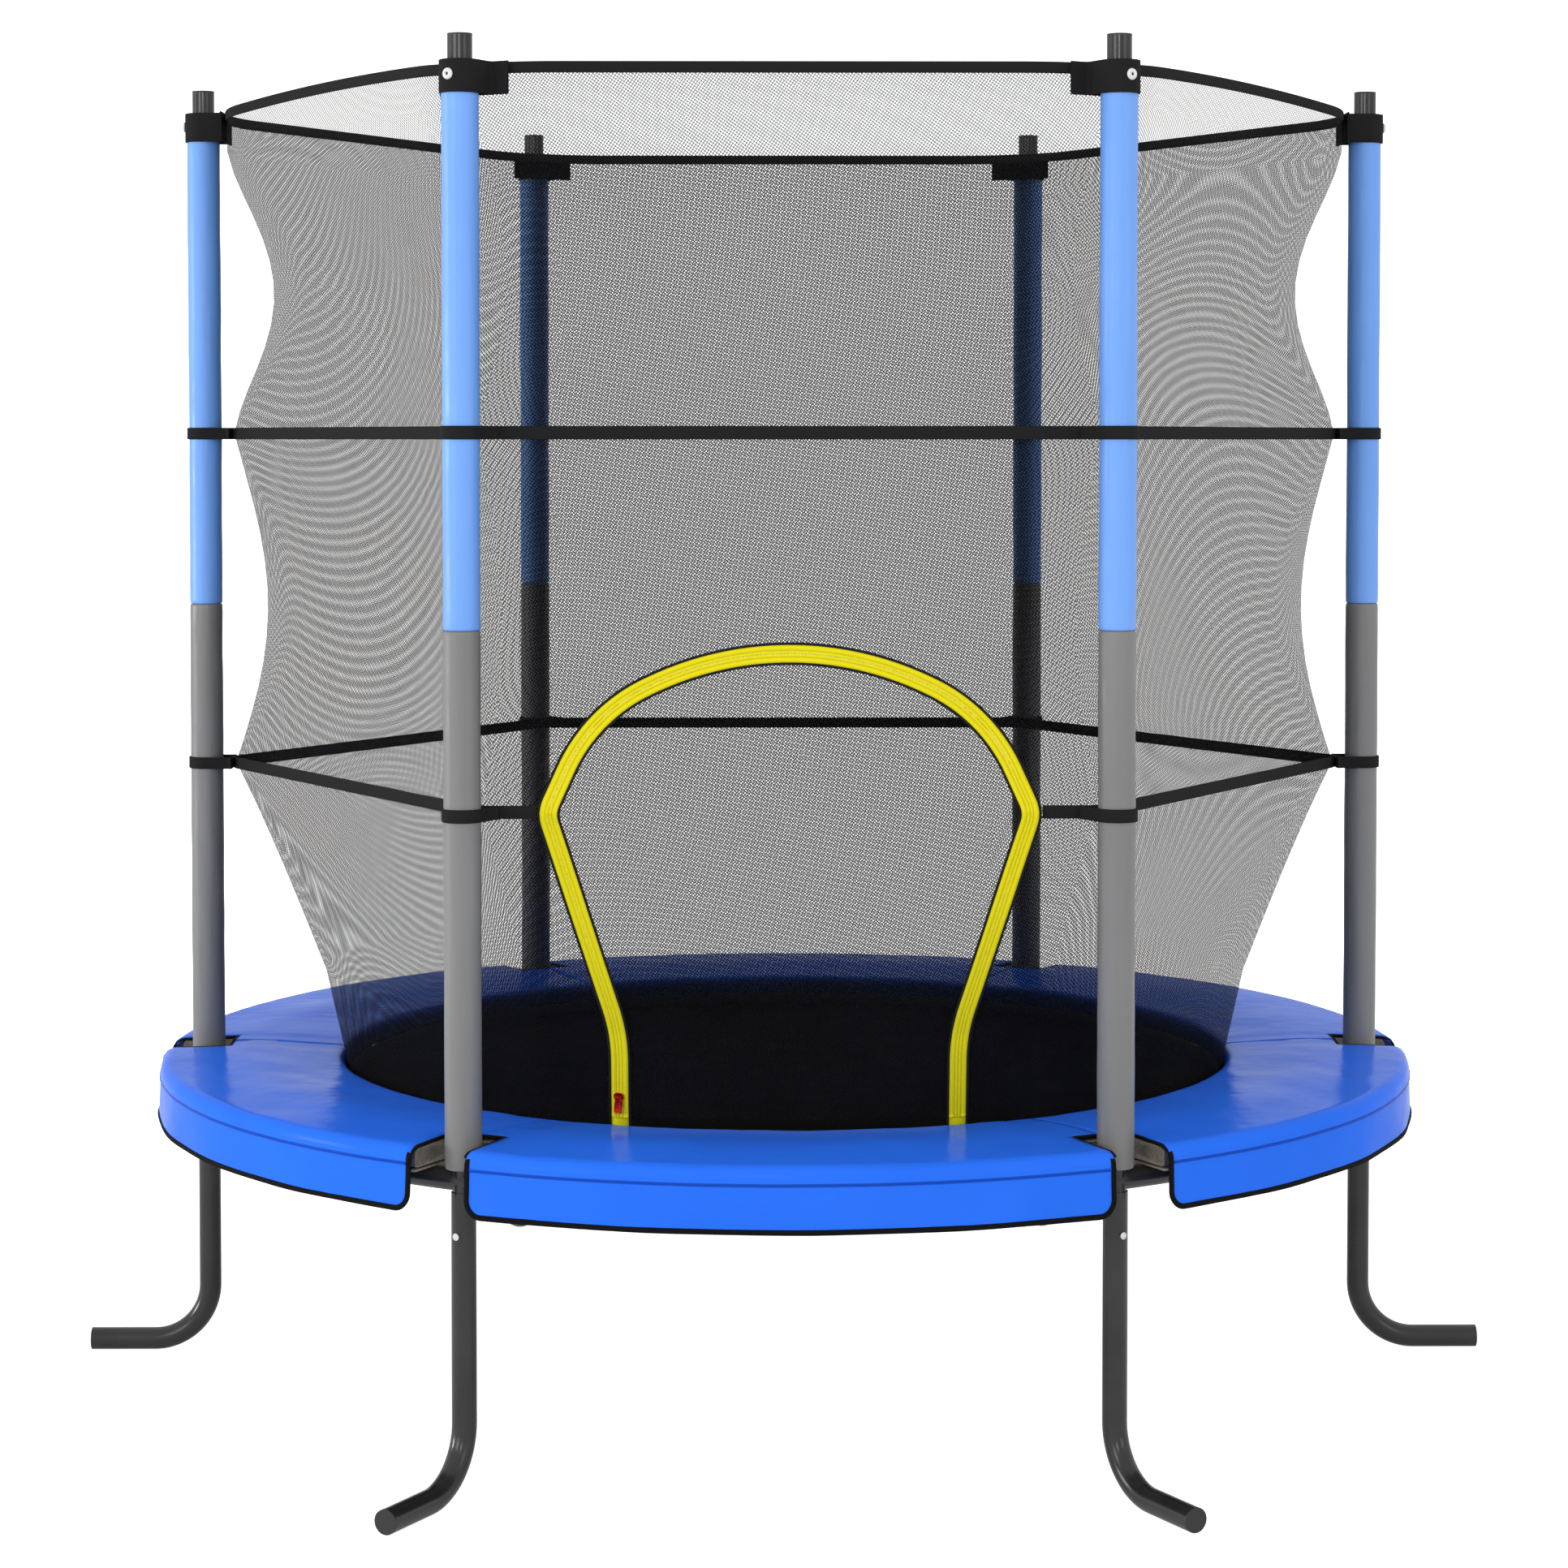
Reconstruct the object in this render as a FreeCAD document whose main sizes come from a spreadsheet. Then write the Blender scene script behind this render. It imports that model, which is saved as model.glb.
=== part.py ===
import FreeCAD, Part
import math
import os

from FreeCAD import Placement, Rotation, Vector
from Sketcher import Constraint

# Round garden trampoline with a safety net, six legs and six net poles.
# Millimetres, +Z up, origin on the floor under the middle of the mat, the net door faces -Y.

doc = FreeCAD.newDocument("trampoline")
sheet = doc.addObject("Spreadsheet::Sheet", "sizes")
sheet_row = 0
UP = Vector(0, 0, 1)
OUTWARD = Vector(1, 0, 0)
SIDEWAYS = Vector(0, 1, 0)


class Size:
    """A number together with the formula on the sheet's cells that it comes from."""

    def __init__(self, number, formula):
        self.number = number
        self.formula = formula

    @staticmethod
    def of(value):
        if isinstance(value, Size):
            return value
        return Size(float(value), repr(value))

    def __add__(self, other):
        other = Size.of(other)
        return Size(self.number + other.number, f"({self.formula} + {other.formula})")

    def __sub__(self, other):
        other = Size.of(other)
        return Size(self.number - other.number, f"({self.formula} - {other.formula})")

    def __mul__(self, other):
        other = Size.of(other)
        return Size(self.number * other.number, f"({self.formula} * {other.formula})")

    def __truediv__(self, other):
        other = Size.of(other)
        return Size(self.number / other.number, f"({self.formula} / {other.formula})")

    def __neg__(self):
        return Size(0.0, "0") - self

    __radd__ = __add__
    __rmul__ = __mul__

    def __rsub__(self, other):
        return Size.of(other) - self

    def __float__(self):
        return self.number


def size(name, value, note):
    """Writes one driving dimension into the sheet and returns it."""
    global sheet_row
    sheet_row += 1
    sheet.set(f"A{sheet_row}", name.replace("_", " "))
    sheet.set(f"B{sheet_row}", str(value))
    sheet.setAlias(f"B{sheet_row}", name)
    sheet.set(f"C{sheet_row}", note)
    return Size(float(value), f"sizes.{name}")


# Overall sizes
pole_circle_radius = size("pole_circle_radius", 747, "frame tube, legs and net poles stand on it")
side_panel_angle = size("side_panel_angle", 60.89, "degrees between the poles on the left and right")
foot_reach = size("foot_reach", 154, "outer end of the feet outside the poles")
foot_circle_radius = pole_circle_radius + foot_reach
overall_height = size("overall_height", 1629, "top of the net poles")
frame_height = size("frame_height", 358, "axis of the round frame tube, level of the mat")

# Tubes
tube_diameter = size("tube_diameter", 28, "legs and net poles")
frame_tube_diameter = size("frame_tube_diameter", 25.4, "round frame")
tube_wall = size("tube_wall", 1.5, "all steel tubes")
stub_length = size("stub_length", 60, "welded stubs that carry legs and poles")
plug_in_length = size("plug_in_length", 40, "swaged ends of frame tubes and upper poles")
joint_overhang = size("joint_overhang", 30, "frame tube runs this far past the pole to its joint")
sliding_fit = size("sliding_fit", 0.2, "gap round a tube that plugs in")
seat_gap = size("seat_gap", 0.3, "gap between pieces that rest on curved faces")
foot_bend_radius = size("foot_bend_radius", 72, "bend of the leg, on the tube's axis")
cap_thickness = size("cap_thickness", 2, "disc of the plastic end plugs")
cap_plug_length = size("cap_plug_length", 12, "part of an end plug inside the tube")

# Foam sleeves
sleeve_diameter = size("sleeve_diameter", 42, "foam round the poles")
sleeve_change_height = size("sleeve_change_height", 971, "grey foam below, blue foam above")
sleeve_top_drop = size("sleeve_top_drop", 31, "upper end of the blue foam below the pole tops")
sleeve_top_height = overall_height - sleeve_top_drop

# Fasteners
leg_screw_drop = size("leg_screw_drop", 61, "screw through leg and stub, below the frame")
leg_screw_height = frame_height - leg_screw_drop
leg_screw_head = size("leg_screw_head", 8, "pan head")
leg_screw_shank = size("leg_screw_shank", 4, "thread")
collar_bolt_drop = size("collar_bolt_drop", 46, "bolt through collar and pole, below the pole tops")
collar_bolt_height = overall_height - collar_bolt_drop
collar_bolt_head = size("collar_bolt_head", 13, "button head")
collar_bolt_shank = size("collar_bolt_shank", 5, "thread")
hex_socket_width = size("hex_socket_width", 4, "across the round part of the socket")
hole_clearance = size("hole_clearance", 0.6, "a hole is this much wider than its screw")

# Jump mat
mat_edge_gap = size("mat_edge_gap", 147, "edge of the mat inside the pole circle")
mat_radius = pole_circle_radius - mat_edge_gap
mat_thickness = size("mat_thickness", 3, "woven mat with its hem")
v_ring_length = size("v_ring_length", 20, "from mat edge to spring hook")
v_ring_half_width = size("v_ring_half_width", 8, "from its middle to the corners at the mat")
v_ring_wire = size("v_ring_wire", 3.2, "wire of the V-rings")
spring_diameter = size("spring_diameter", 15, "coil of a tension spring")
spring_hook_wire = size("spring_hook_wire", 2.6, "hook of a spring")
spring_hook_length = size("spring_hook_length", 16, "from coil to hook end")
springs_between_poles = size("springs_between_poles", 6, "count")

# Pad
pad_cover_width = size("pad_cover_width", 32, "the pad covers this much of the mat")
pad_inner_radius = mat_radius - pad_cover_width
skirt_reach = size("skirt_reach", 53, "outside of the skirt outside the pole circle")
skirt_radius = pole_circle_radius + skirt_reach
pad_rest_gap = size("pad_rest_gap", 0.8, "pad cover above the frame tube")
pad_thickness = size("pad_thickness", 26, "at the inner edge")
pad_rim_rise = size("pad_rim_rise", 3, "rim above the inner edge")
pad_crown = size("pad_crown", 4, "crown between inner edge and rim")
cover_thickness = size("cover_thickness", 1.5, "coated fabric with its lining")
skirt_thickness = size("skirt_thickness", 2.5, "hemmed skirt")
skirt_drop = size("skirt_drop", 42, "skirt below the pad's underside")
notch_half_width = size("notch_half_width", 37, "cut-out of the pad round a pole")
notch_depth = size("notch_depth", 35, "cut-out reaches this far inside the pole axis")
piping_diameter = size("piping_diameter", 3, "cord along the skirt's lower edge")

# Safety net
net_thickness = size("net_thickness", 1.5, "net with its thread thickness")
webbing_gap = size("webbing_gap", 0.1, "webbing outside the net")
webbing_thickness = size("webbing_thickness", 1.5, "bands and hem")
net_foot_rise = size("net_foot_rise", 9, "lower edge of the net above the mat")
net_foot_height = frame_height + net_foot_rise
net_knee_rise = size("net_knee_rise", 147, "straight foot of the net ends this far above the mat")
net_knee_height = frame_height + net_knee_rise
lower_band_height = size("lower_band_height", 766, "middle of the lower band")
upper_band_height = size("upper_band_height", 1190, "middle of the upper band")
net_collar_drop = size("net_collar_drop", 79, "net hangs straight above this, below the pole tops")
net_shoulder_height = overall_height - net_collar_drop
net_top_drop = size("net_top_drop", 30, "upper edge of the hem below the pole tops")
net_top_height = overall_height - net_top_drop
net_foot_gap = size("net_foot_gap", 9, "corner of the net at its foot inside the pad")
net_foot_radius = pad_inner_radius - net_foot_gap
net_knee_gap = size("net_knee_gap", 155, "corner of the net at the knee inside the pole circle")
net_knee_radius = pole_circle_radius - net_knee_gap
net_band_gap = size("net_band_gap", 37, "corner of the net at both bands inside the pole circle")
net_band_radius = pole_circle_radius - net_band_gap
net_lower_gap = size("net_lower_gap", 81, "narrowest corner between the bands, inside the poles")
net_lower_waist = pole_circle_radius - net_lower_gap
net_upper_gap = size("net_upper_gap", 91, "narrowest corner above the bands, inside the poles")
net_upper_waist = pole_circle_radius - net_upper_gap
net_top_gap = size("net_top_gap", 32, "corner of the net at the hem inside the pole circle")
net_top_radius = pole_circle_radius - net_top_gap
net_foot_easing = size("net_foot_easing", 11, "corner rounding of the foot is this much below its radius")
net_foot_rounding = net_foot_radius - net_foot_easing
net_knee_rounding = size("net_knee_rounding", 400, "corner rounding at the knee")
net_calf_rounding = size("net_calf_rounding", 300, "corner rounding above the knee")
net_thigh_rounding = size("net_thigh_rounding", 200, "corner rounding below the lower band")
net_band_rounding = size("net_band_rounding", 30, "corner rounding at both bands")
net_lower_rounding = size("net_lower_rounding", 120, "corner rounding between a band and the waist")
net_waist_rounding = size("net_waist_rounding", 200, "corner rounding at the waist between the bands")
net_rise_rounding = size("net_rise_rounding", 130, "corner rounding above the upper band")
net_neck_rounding = size("net_neck_rounding", 220, "corner rounding at the narrowest part above the bands")
net_nape_rounding = size("net_nape_rounding", 200, "corner rounding below the collars")
net_top_rounding = size("net_top_rounding", 190, "corner rounding at the collars and the hem")
band_width = size("band_width", 15, "webbing bands")
hem_width = size("hem_width", 12, "top hem")
collar_height = size("collar_height", 37, "fabric collar round a pole top")
collar_half_width = size("collar_half_width", 45, "part of the collar sewn to the net")
collar_thickness = size("collar_thickness", 2, "doubled fabric")
tie_diameter = size("tie_diameter", 2.4, "elastic between net foot and frame tube")

# Net door and zip
door_foot_half = size("door_foot_half", 193.5, "half width of the zip line at its foot")
door_hip_half = size("door_hip_half", 272, "half width of the zip line at its hips")
door_hip_height = size("door_hip_height", 765, "height of the hips")
door_shoulder_half = size("door_shoulder_half", 222, "half width at the shoulders")
door_shoulder_height = size("door_shoulder_height", 876, "height of the shoulders")
door_apex_height = size("door_apex_height", 979.9, "height where the shoulder lines would meet")
door_knee_bend = size("door_knee_bend", 220, "bend radius of the zip line at the knee")
door_hip_bend = size("door_hip_bend", 35, "bend radius at the hips")
door_shoulder_bend = size("door_shoulder_bend", 190, "bend radius at the shoulders")
door_apex_bend = size("door_apex_bend", 360, "bend radius at the top")
door_hinge_rise = size("door_hinge_rise", 47, "fold line of the door above the mat")
door_hinge_height = frame_height + door_hinge_rise
zip_split = size("zip_split", 0.8, "half gap between the two rows of teeth")
coil_width = size("coil_width", 2.4, "one row of teeth")
coil_thickness = size("coil_thickness", 2, "depth of the teeth")
zip_half_width = size("zip_half_width", 11, "zip line to the outer edge of its tape")
net_edge_offset = size("net_edge_offset", 5, "zip line to the cut edge of the net")
zip_foot_rise = size("zip_foot_rise", 40, "lower end of the tape beside the door, above the mat")
zip_foot_height = frame_height + zip_foot_rise
slider_rise = size("slider_rise", 69, "middle of the parked slider above the mat")
slider_height = frame_height + slider_rise
slider_length = size("slider_length", 18, "along the zip")
slider_travel = size("slider_travel", 60, "straight run of the zip above the middle of the parked slider")
slider_width = size("slider_width", 12, "across the zip")
slider_plate = size("slider_plate", 1.5, "plate thickness")
slider_clearance = size("slider_clearance", 0.45, "plates to teeth")
slider_neck = size("slider_neck", 1, "web between the rows of teeth")
pull_length = size("pull_length", 19, "pull tab from its pin")
pull_width = size("pull_width", 9.5, "pull tab")
pull_thickness = size("pull_thickness", 1.6, "pull tab")
pull_pin_diameter = size("pull_pin_diameter", 1.6, "pin of the pull")

doc.recompute()

# Angles of the six poles and the names of poles and of the stretches between them
side_angle = float(side_panel_angle)
pole_angles = [0, side_angle, 180 - side_angle, 180, 180 + side_angle, 360 - side_angle]
pole_names = ["right", "back_right", "back_left", "left", "front_left", "front_right"]
stretch_names = ["right_back", "back", "left_back", "left_front", "front", "right_front"]
stretches = []
for index in range(6):
    start = pole_angles[index]
    end = (pole_angles + [360])[index + 1]
    stretches.append((stretch_names[index], start, end - start))

nodes = []


# Helpers
def bind(thing, **sizes):
    """Binds properties of a feature to formulas on the sheet."""
    for name, value in sizes.items():
        thing.setExpression(name, Size.of(value).formula)
    return thing


def turned(angle, x=0, y=0, z=0):
    """A place at x, y, z, turned about the vertical."""
    return Placement(Vector(float(x), float(y), float(z)), Rotation(UP, float(angle)))


def at_pole(angle):
    """The place of a pole: X points outwards, Z is the pole's axis."""
    reach = float(pole_circle_radius)
    turn = math.radians(angle)
    return turned(angle, reach * math.cos(turn), reach * math.sin(turn))


def cylinder(name, radius, length, x=0, y=0, z=0, along=UP):
    thing = doc.addObject("Part::Cylinder", name)
    bind(thing, Radius=radius, Height=length)
    thing.Placement = Placement(Vector(float(x), float(y), float(z)), Rotation(UP, along))
    return thing


def box(name, length, width, height, x, y, z):
    """A box from its low corner: length along X, width along Y."""
    thing = doc.addObject("Part::Box", name)
    bind(thing, Length=length, Width=width, Height=height)
    thing.Placement = turned(0, x, y, z)
    return thing


def ring_piece(name, ring_radius, wire_radius, sweep, start=0, z=0):
    """A piece of a torus about the vertical from the angle start."""
    thing = doc.addObject("Part::Torus", name)
    bind(thing, Radius1=ring_radius, Radius2=wire_radius)
    thing.Angle3 = sweep
    thing.Placement = turned(start, z=z)
    return thing


def fuse(name, *things):
    thing = doc.addObject("Part::MultiFuse", name)
    thing.Shapes = list(things)
    return thing


def cut(name, base, *tools):
    thing = doc.addObject("Part::Cut", name)
    thing.Base = base
    thing.Tool = tools[0] if len(tools) == 1 else fuse(name + "_tools", *tools)
    return thing


def group(name, things):
    thing = doc.addObject("Part::Compound", name)
    thing.Links = list(things)
    return thing


def plain(name, shape, place=None):
    """A feature whose shape is worked out with the geometry functions."""
    thing = doc.addObject("Part::Feature", name)
    thing.Shape = shape
    if place is not None:
        thing.Placement = place
    return thing


def node(label, thing):
    """Marks a finished sub-part."""
    thing.Label = label
    nodes.append(thing)
    return thing


def copies(name, shape, places):
    """Equal solids at many places."""
    solids = []
    for place in places:
        solid = shape.copy()
        solid.Placement = place
        solids.append(solid)
    return plain(name, Part.makeCompound(solids))


def closed_sketch(body, name, outlines):
    """A sketch in the body's XZ plane: closed outlines whose corners are bound to the sheet."""
    sketch = body.newObject("Sketcher::SketchObject", name)
    plane = [item for item in body.Origin.OriginFeatures if item.Role == "XZ_Plane"][0]
    sketch.AttachmentSupport = (plane, "")
    sketch.MapMode = "FlatFace"
    for corners in outlines:
        first = sketch.GeometryCount
        count = len(corners)
        points = [Vector(float(x), float(z), 0) for x, z in corners]
        for k in range(count):
            sketch.addGeometry(Part.LineSegment(points[k], points[(k + 1) % count]), False)
        for k in range(count):
            sketch.addConstraint(Constraint("Coincident", first + k, 2, first + (k + 1) % count, 1))
        for k, (x, z) in enumerate(corners):
            for kind, value in (("DistanceX", Size.of(x)), ("DistanceY", Size.of(z))):
                if value.number == 0:
                    axis = -2 if kind == "DistanceX" else -1
                    sketch.addConstraint(Constraint("PointOnObject", first + k, 1, axis))
                    continue
                number = sketch.addConstraint(Constraint(kind, first + k, 1, value.number))
                sketch.setExpression(f"Constraints[{number}]", value.formula)
    return sketch


def turned_body(name, outlines, sweep=360):
    """A body turned about the vertical from outlines in its XZ plane."""
    body = doc.addObject("PartDesign::Body", name)
    sketch = closed_sketch(body, name + "_outline", outlines)
    turn = body.newObject("PartDesign::Revolution", name + "_turn")
    turn.Profile = sketch
    turn.ReferenceAxis = (sketch, ["V_Axis"])
    turn.Angle = sweep
    sketch.Visibility = False
    return body


# Radii that several pieces share
tube_radius = tube_diameter / 2
tube_bore = tube_radius - tube_wall
plug_radius = tube_bore - sliding_fit
frame_radius = frame_tube_diameter / 2
frame_bore = frame_radius - tube_wall
frame_plug = frame_bore - sliding_fit
frame_top = frame_height + frame_radius
frame_bottom = frame_height - frame_radius
sleeve_radius = sleeve_diameter / 2


def along_circle(length):
    """Degrees on the pole circle that a length covers."""
    return math.degrees(float(length) / float(pole_circle_radius))


def spring_angles():
    """Angles of all springs, evenly spaced between neighbouring poles."""
    count = int(float(springs_between_poles))
    angles = []
    for name, start, sweep in stretches:
        for k in range(count):
            angles.append(start + sweep * (k + 0.5) / count)
    return angles


# Round frame: six tubes, each with two welded stubs at its start and a swaged end
def frame_tube(name, start, sweep):
    overhang = along_circle(joint_overhang)
    plug = along_circle(plug_in_length)
    shoulder = along_circle(tube_wall * 2)
    begin = start - overhang
    outside = ring_piece(name + "_tube", pole_circle_radius, frame_radius, sweep, begin, frame_height)
    end = begin + sweep - shoulder
    swage = ring_piece(name + "_swage", pole_circle_radius, frame_plug, shoulder + plug, end, frame_height)
    bore = ring_piece(name + "_bore", pole_circle_radius, frame_bore, sweep - shoulder, begin, frame_height)
    swage_bore = ring_piece(
        name + "_swage_bore",
        pole_circle_radius,
        frame_plug - tube_wall,
        shoulder + plug,
        end,
        frame_height,
    )
    pole = at_pole(start)
    reach = stub_length + frame_radius
    stub_up = cylinder(name + "_stub_up", plug_radius, reach, z=frame_height)
    stub_down = cylinder(name + "_stub_down", plug_radius, reach, z=frame_height - reach)
    bore_up = cylinder(name + "_stub_up_bore", plug_radius - tube_wall, stub_length, z=frame_top)
    bore_down = cylinder(
        name + "_stub_down_bore", plug_radius - tube_wall, stub_length, z=frame_bottom - stub_length
    )
    screw_hole = cylinder(
        name + "_screw_hole",
        (leg_screw_shank + hole_clearance) / 2,
        tube_radius,
        z=leg_screw_height,
        along=OUTWARD,
    )
    for thing in (stub_up, stub_down, bore_up, bore_down, screw_hole):
        thing.Placement = pole.multiply(thing.Placement)
    holes = []
    for angle in spring_angles():
        if start < angle < start + sweep:
            hole = cylinder(
                f"{name}_spring_hole_{len(holes) + 1}",
                spring_hook_wire / 2 + seat_gap,
                frame_radius,
                x=pole_circle_radius - frame_radius - tube_wall,
                z=frame_height,
                along=OUTWARD,
            )
            hole.Placement = turned(angle).multiply(hole.Placement)
            holes.append(hole)
    solid = fuse(name + "_outside", outside, swage, stub_up, stub_down)
    return cut(name, solid, bore, swage_bore, bore_up, bore_down, screw_hole, *holes)


for name, start, sweep in stretches:
    node("frame_tube_" + name, frame_tube("frame_tube_" + name, start, sweep))


# Legs: a straight tube that slides over the stub, bent outwards into a flat foot
def leg_form(name, radius, reach):
    top = frame_bottom - seat_gap
    bend_top = foot_bend_radius + tube_radius
    straight = cylinder(name + "_straight", radius, top - foot_bend_radius - tube_radius, z=bend_top)
    bend = doc.addObject("Part::Torus", name + "_bend")
    bind(bend, Radius1=foot_bend_radius, Radius2=radius)
    bend.Angle3 = 90
    upright = Rotation(Vector(-1, 0, 0), Vector(0, 0, -1), Vector(0, -1, 0), "XYZ")
    bend.Placement = Placement(Vector(float(foot_bend_radius), 0, float(bend_top)), upright)
    foot = cylinder(
        name + "_foot", radius, reach - foot_bend_radius, x=foot_bend_radius, z=tube_radius, along=OUTWARD
    )
    return fuse(name, straight, bend, foot)


foot_reach = foot_circle_radius - pole_circle_radius - cap_thickness
for name, angle in zip(pole_names, pole_angles):
    outside = leg_form(f"leg_{name}_outside", tube_radius, foot_reach)
    inside = leg_form(f"leg_{name}_inside", tube_bore, foot_reach)
    hole = cylinder(
        f"leg_{name}_screw_hole",
        (leg_screw_shank + hole_clearance) / 2,
        tube_diameter,
        z=leg_screw_height,
        along=OUTWARD,
    )
    leg = cut("leg_" + name, outside, inside, hole)
    leg.Placement = at_pole(angle)
    node("leg_" + name, leg)


def end_plug(name, x=0, z=0, along=UP):
    """A disc with a plug that fills the tube's bore, the disc outwards."""
    disc = cylinder(name + "_disc", tube_radius, cap_thickness)
    stem = cylinder(name + "_stem", plug_radius, cap_plug_length, z=-cap_plug_length)
    plug = fuse(name, disc, stem)
    plug.Placement = Placement(Vector(float(x), 0, float(z)), Rotation(UP, along))
    return plug


def placed_at_poles(label, maker):
    """One piece made by a function at each pole, all in one node."""
    things = []
    for name, angle in zip(pole_names, pole_angles):
        thing = maker(f"{label}_{name}")
        thing.Placement = at_pole(angle).multiply(thing.Placement)
        things.append(thing)
    return node(label, group(label, things))


placed_at_poles("foot_caps", lambda name: end_plug(name, foot_reach, tube_radius, OUTWARD))
placed_at_poles("pole_end_plugs", lambda name: end_plug(name, 0, overall_height - cap_thickness))


def leg_screw(name):
    level = leg_screw_height
    face = tube_radius + seat_gap
    head = cylinder(name + "_head", leg_screw_head / 2, leg_screw_shank / 2, x=face, z=level, along=OUTWARD)
    inner = tube_bore - tube_wall * 2
    shank = cylinder(name + "_shank", leg_screw_shank / 2, face - inner, x=inner, z=level, along=OUTWARD)
    return fuse(name, head, shank)


placed_at_poles("leg_screws", leg_screw)

# Net poles: a lower tube over the stub and an upper tube whose swaged end plugs into it
pole_foot = frame_top + seat_gap
pole_top = overall_height - cap_thickness
for name, angle in zip(pole_names, pole_angles):
    lower = turned_body(
        "pole_lower_" + name,
        [[
            (tube_bore, pole_foot),
            (tube_radius, pole_foot),
            (tube_radius, sleeve_change_height),
            (tube_bore, sleeve_change_height),
        ]],
    )
    lower.Placement = at_pole(angle)
    node("pole_lower_" + name, lower)
for name, angle in zip(pole_names, pole_angles):
    swage_foot = sleeve_change_height - plug_in_length
    swage_top = sleeve_change_height + tube_wall * 2
    tube = turned_body(
        f"pole_upper_{name}_tube",
        [[
            (plug_radius - tube_wall, swage_foot),
            (plug_radius, swage_foot),
            (plug_radius, sleeve_change_height),
            (tube_radius, sleeve_change_height),
            (tube_radius, pole_top),
            (tube_bore, pole_top),
            (tube_bore, swage_top),
            (plug_radius - tube_wall, swage_top),
        ]],
    )
    hole = cylinder(
        f"pole_upper_{name}_bolt_hole",
        (collar_bolt_shank + hole_clearance) / 2,
        tube_diameter,
        z=collar_bolt_height,
        along=OUTWARD,
    )
    upper = cut("pole_upper_" + name, tube, hole)
    upper.Placement = at_pole(angle)
    node("pole_upper_" + name, upper)


# Foam sleeves round the poles
def sleeve(name, foot, top):
    outside = cylinder(name + "_outside", sleeve_radius, top - foot, z=foot)
    inside = cylinder(name + "_inside", tube_radius + seat_gap, top - foot, z=foot)
    return outside, inside


def lower_sleeve(name):
    outside, inside = sleeve(name, pole_foot, sleeve_change_height)
    return cut(name, outside, inside)


def bolt_hole(name):
    return cylinder(
        name + "_bolt_hole",
        (collar_bolt_shank + hole_clearance * 2) / 2,
        sleeve_diameter,
        z=collar_bolt_height,
        along=OUTWARD,
    )


def upper_sleeve(name):
    outside, inside = sleeve(name, sleeve_change_height, sleeve_top_height)
    return cut(name, outside, inside, bolt_hole(name))


placed_at_poles("foam_sleeves_lower", lower_sleeve)
placed_at_poles("foam_sleeves_upper", upper_sleeve)

# Straps that hold the net to the poles: a loop round the foam with a flat tab on the net
loop_inner = sleeve_radius + seat_gap
loop_outer = loop_inner + collar_thickness


def strap_loop(name, net_face, tab_half_width, height, foot):
    """The loop's straight sides run from the pole's axis inwards to a tab lying on the net."""
    tab_inner = net_face - pole_circle_radius + seat_gap
    tab_outer = tab_inner + collar_thickness
    outside = fuse(
        name + "_outside",
        cylinder(name + "_round", loop_outer, height, z=foot),
        box(name + "_sides", -tab_outer, loop_outer * 2, height, tab_outer, -loop_outer, foot),
    )
    inside = fuse(
        name + "_inside",
        cylinder(name + "_round_inside", loop_inner, height, z=foot),
        box(name + "_sides_inside", -tab_outer, loop_inner * 2, height, tab_outer, -loop_inner, foot),
    )
    loop = cut(name + "_loop", outside, inside)
    tab = box(name + "_tab", collar_thickness, tab_half_width * 2, height, tab_inner, -tab_half_width, foot)
    return fuse(name, loop, tab)


webbing_inner = net_thickness / 2 + webbing_gap
webbing_outer = webbing_inner + webbing_thickness


def collar(name):
    foot = net_top_height + 1 - collar_height
    face = net_top_radius + webbing_outer
    strap = strap_loop(name + "_strap", face, collar_half_width, collar_height, foot)
    return cut(name, strap, bolt_hole(name))


def band_loop_pair(name):
    """The loops of the lower and the upper band round one pole."""
    loops = []
    for band, height in (("lower", lower_band_height), ("upper", upper_band_height)):
        foot = height - band_width / 2
        face = net_band_radius + webbing_outer
        loops.append(strap_loop(f"{name}_{band}", face, loop_outer, band_width, foot))
    return group(name, loops)


placed_at_poles("net_collars", collar)
placed_at_poles("band_loops", band_loop_pair)


def collar_bolt(name):
    face = loop_outer + seat_gap
    head_length = collar_thickness * 2
    level = collar_bolt_height
    head = cylinder(name + "_head", collar_bolt_head / 2, head_length, x=face, z=level, along=OUTWARD)
    inner = tube_bore - plug_in_length / 8
    shank = cylinder(name + "_shank", collar_bolt_shank / 2, face - inner, x=inner, z=level, along=OUTWARD)
    socket = cylinder(
        name + "_socket",
        hex_socket_width / 2,
        head_length,
        x=face + head_length / 2,
        z=collar_bolt_height,
        along=OUTWARD,
    )
    return cut(name, fuse(name + "_solid", head, shank), socket)


placed_at_poles("collar_bolts", collar_bolt)


# Safety net: each panel spans two poles and is a thin wall whose section is a straight
# line with a rounded corner at each pole
def blend_sizes(low, high, share):
    return float(low) + (float(high) - float(low)) * share


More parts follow.
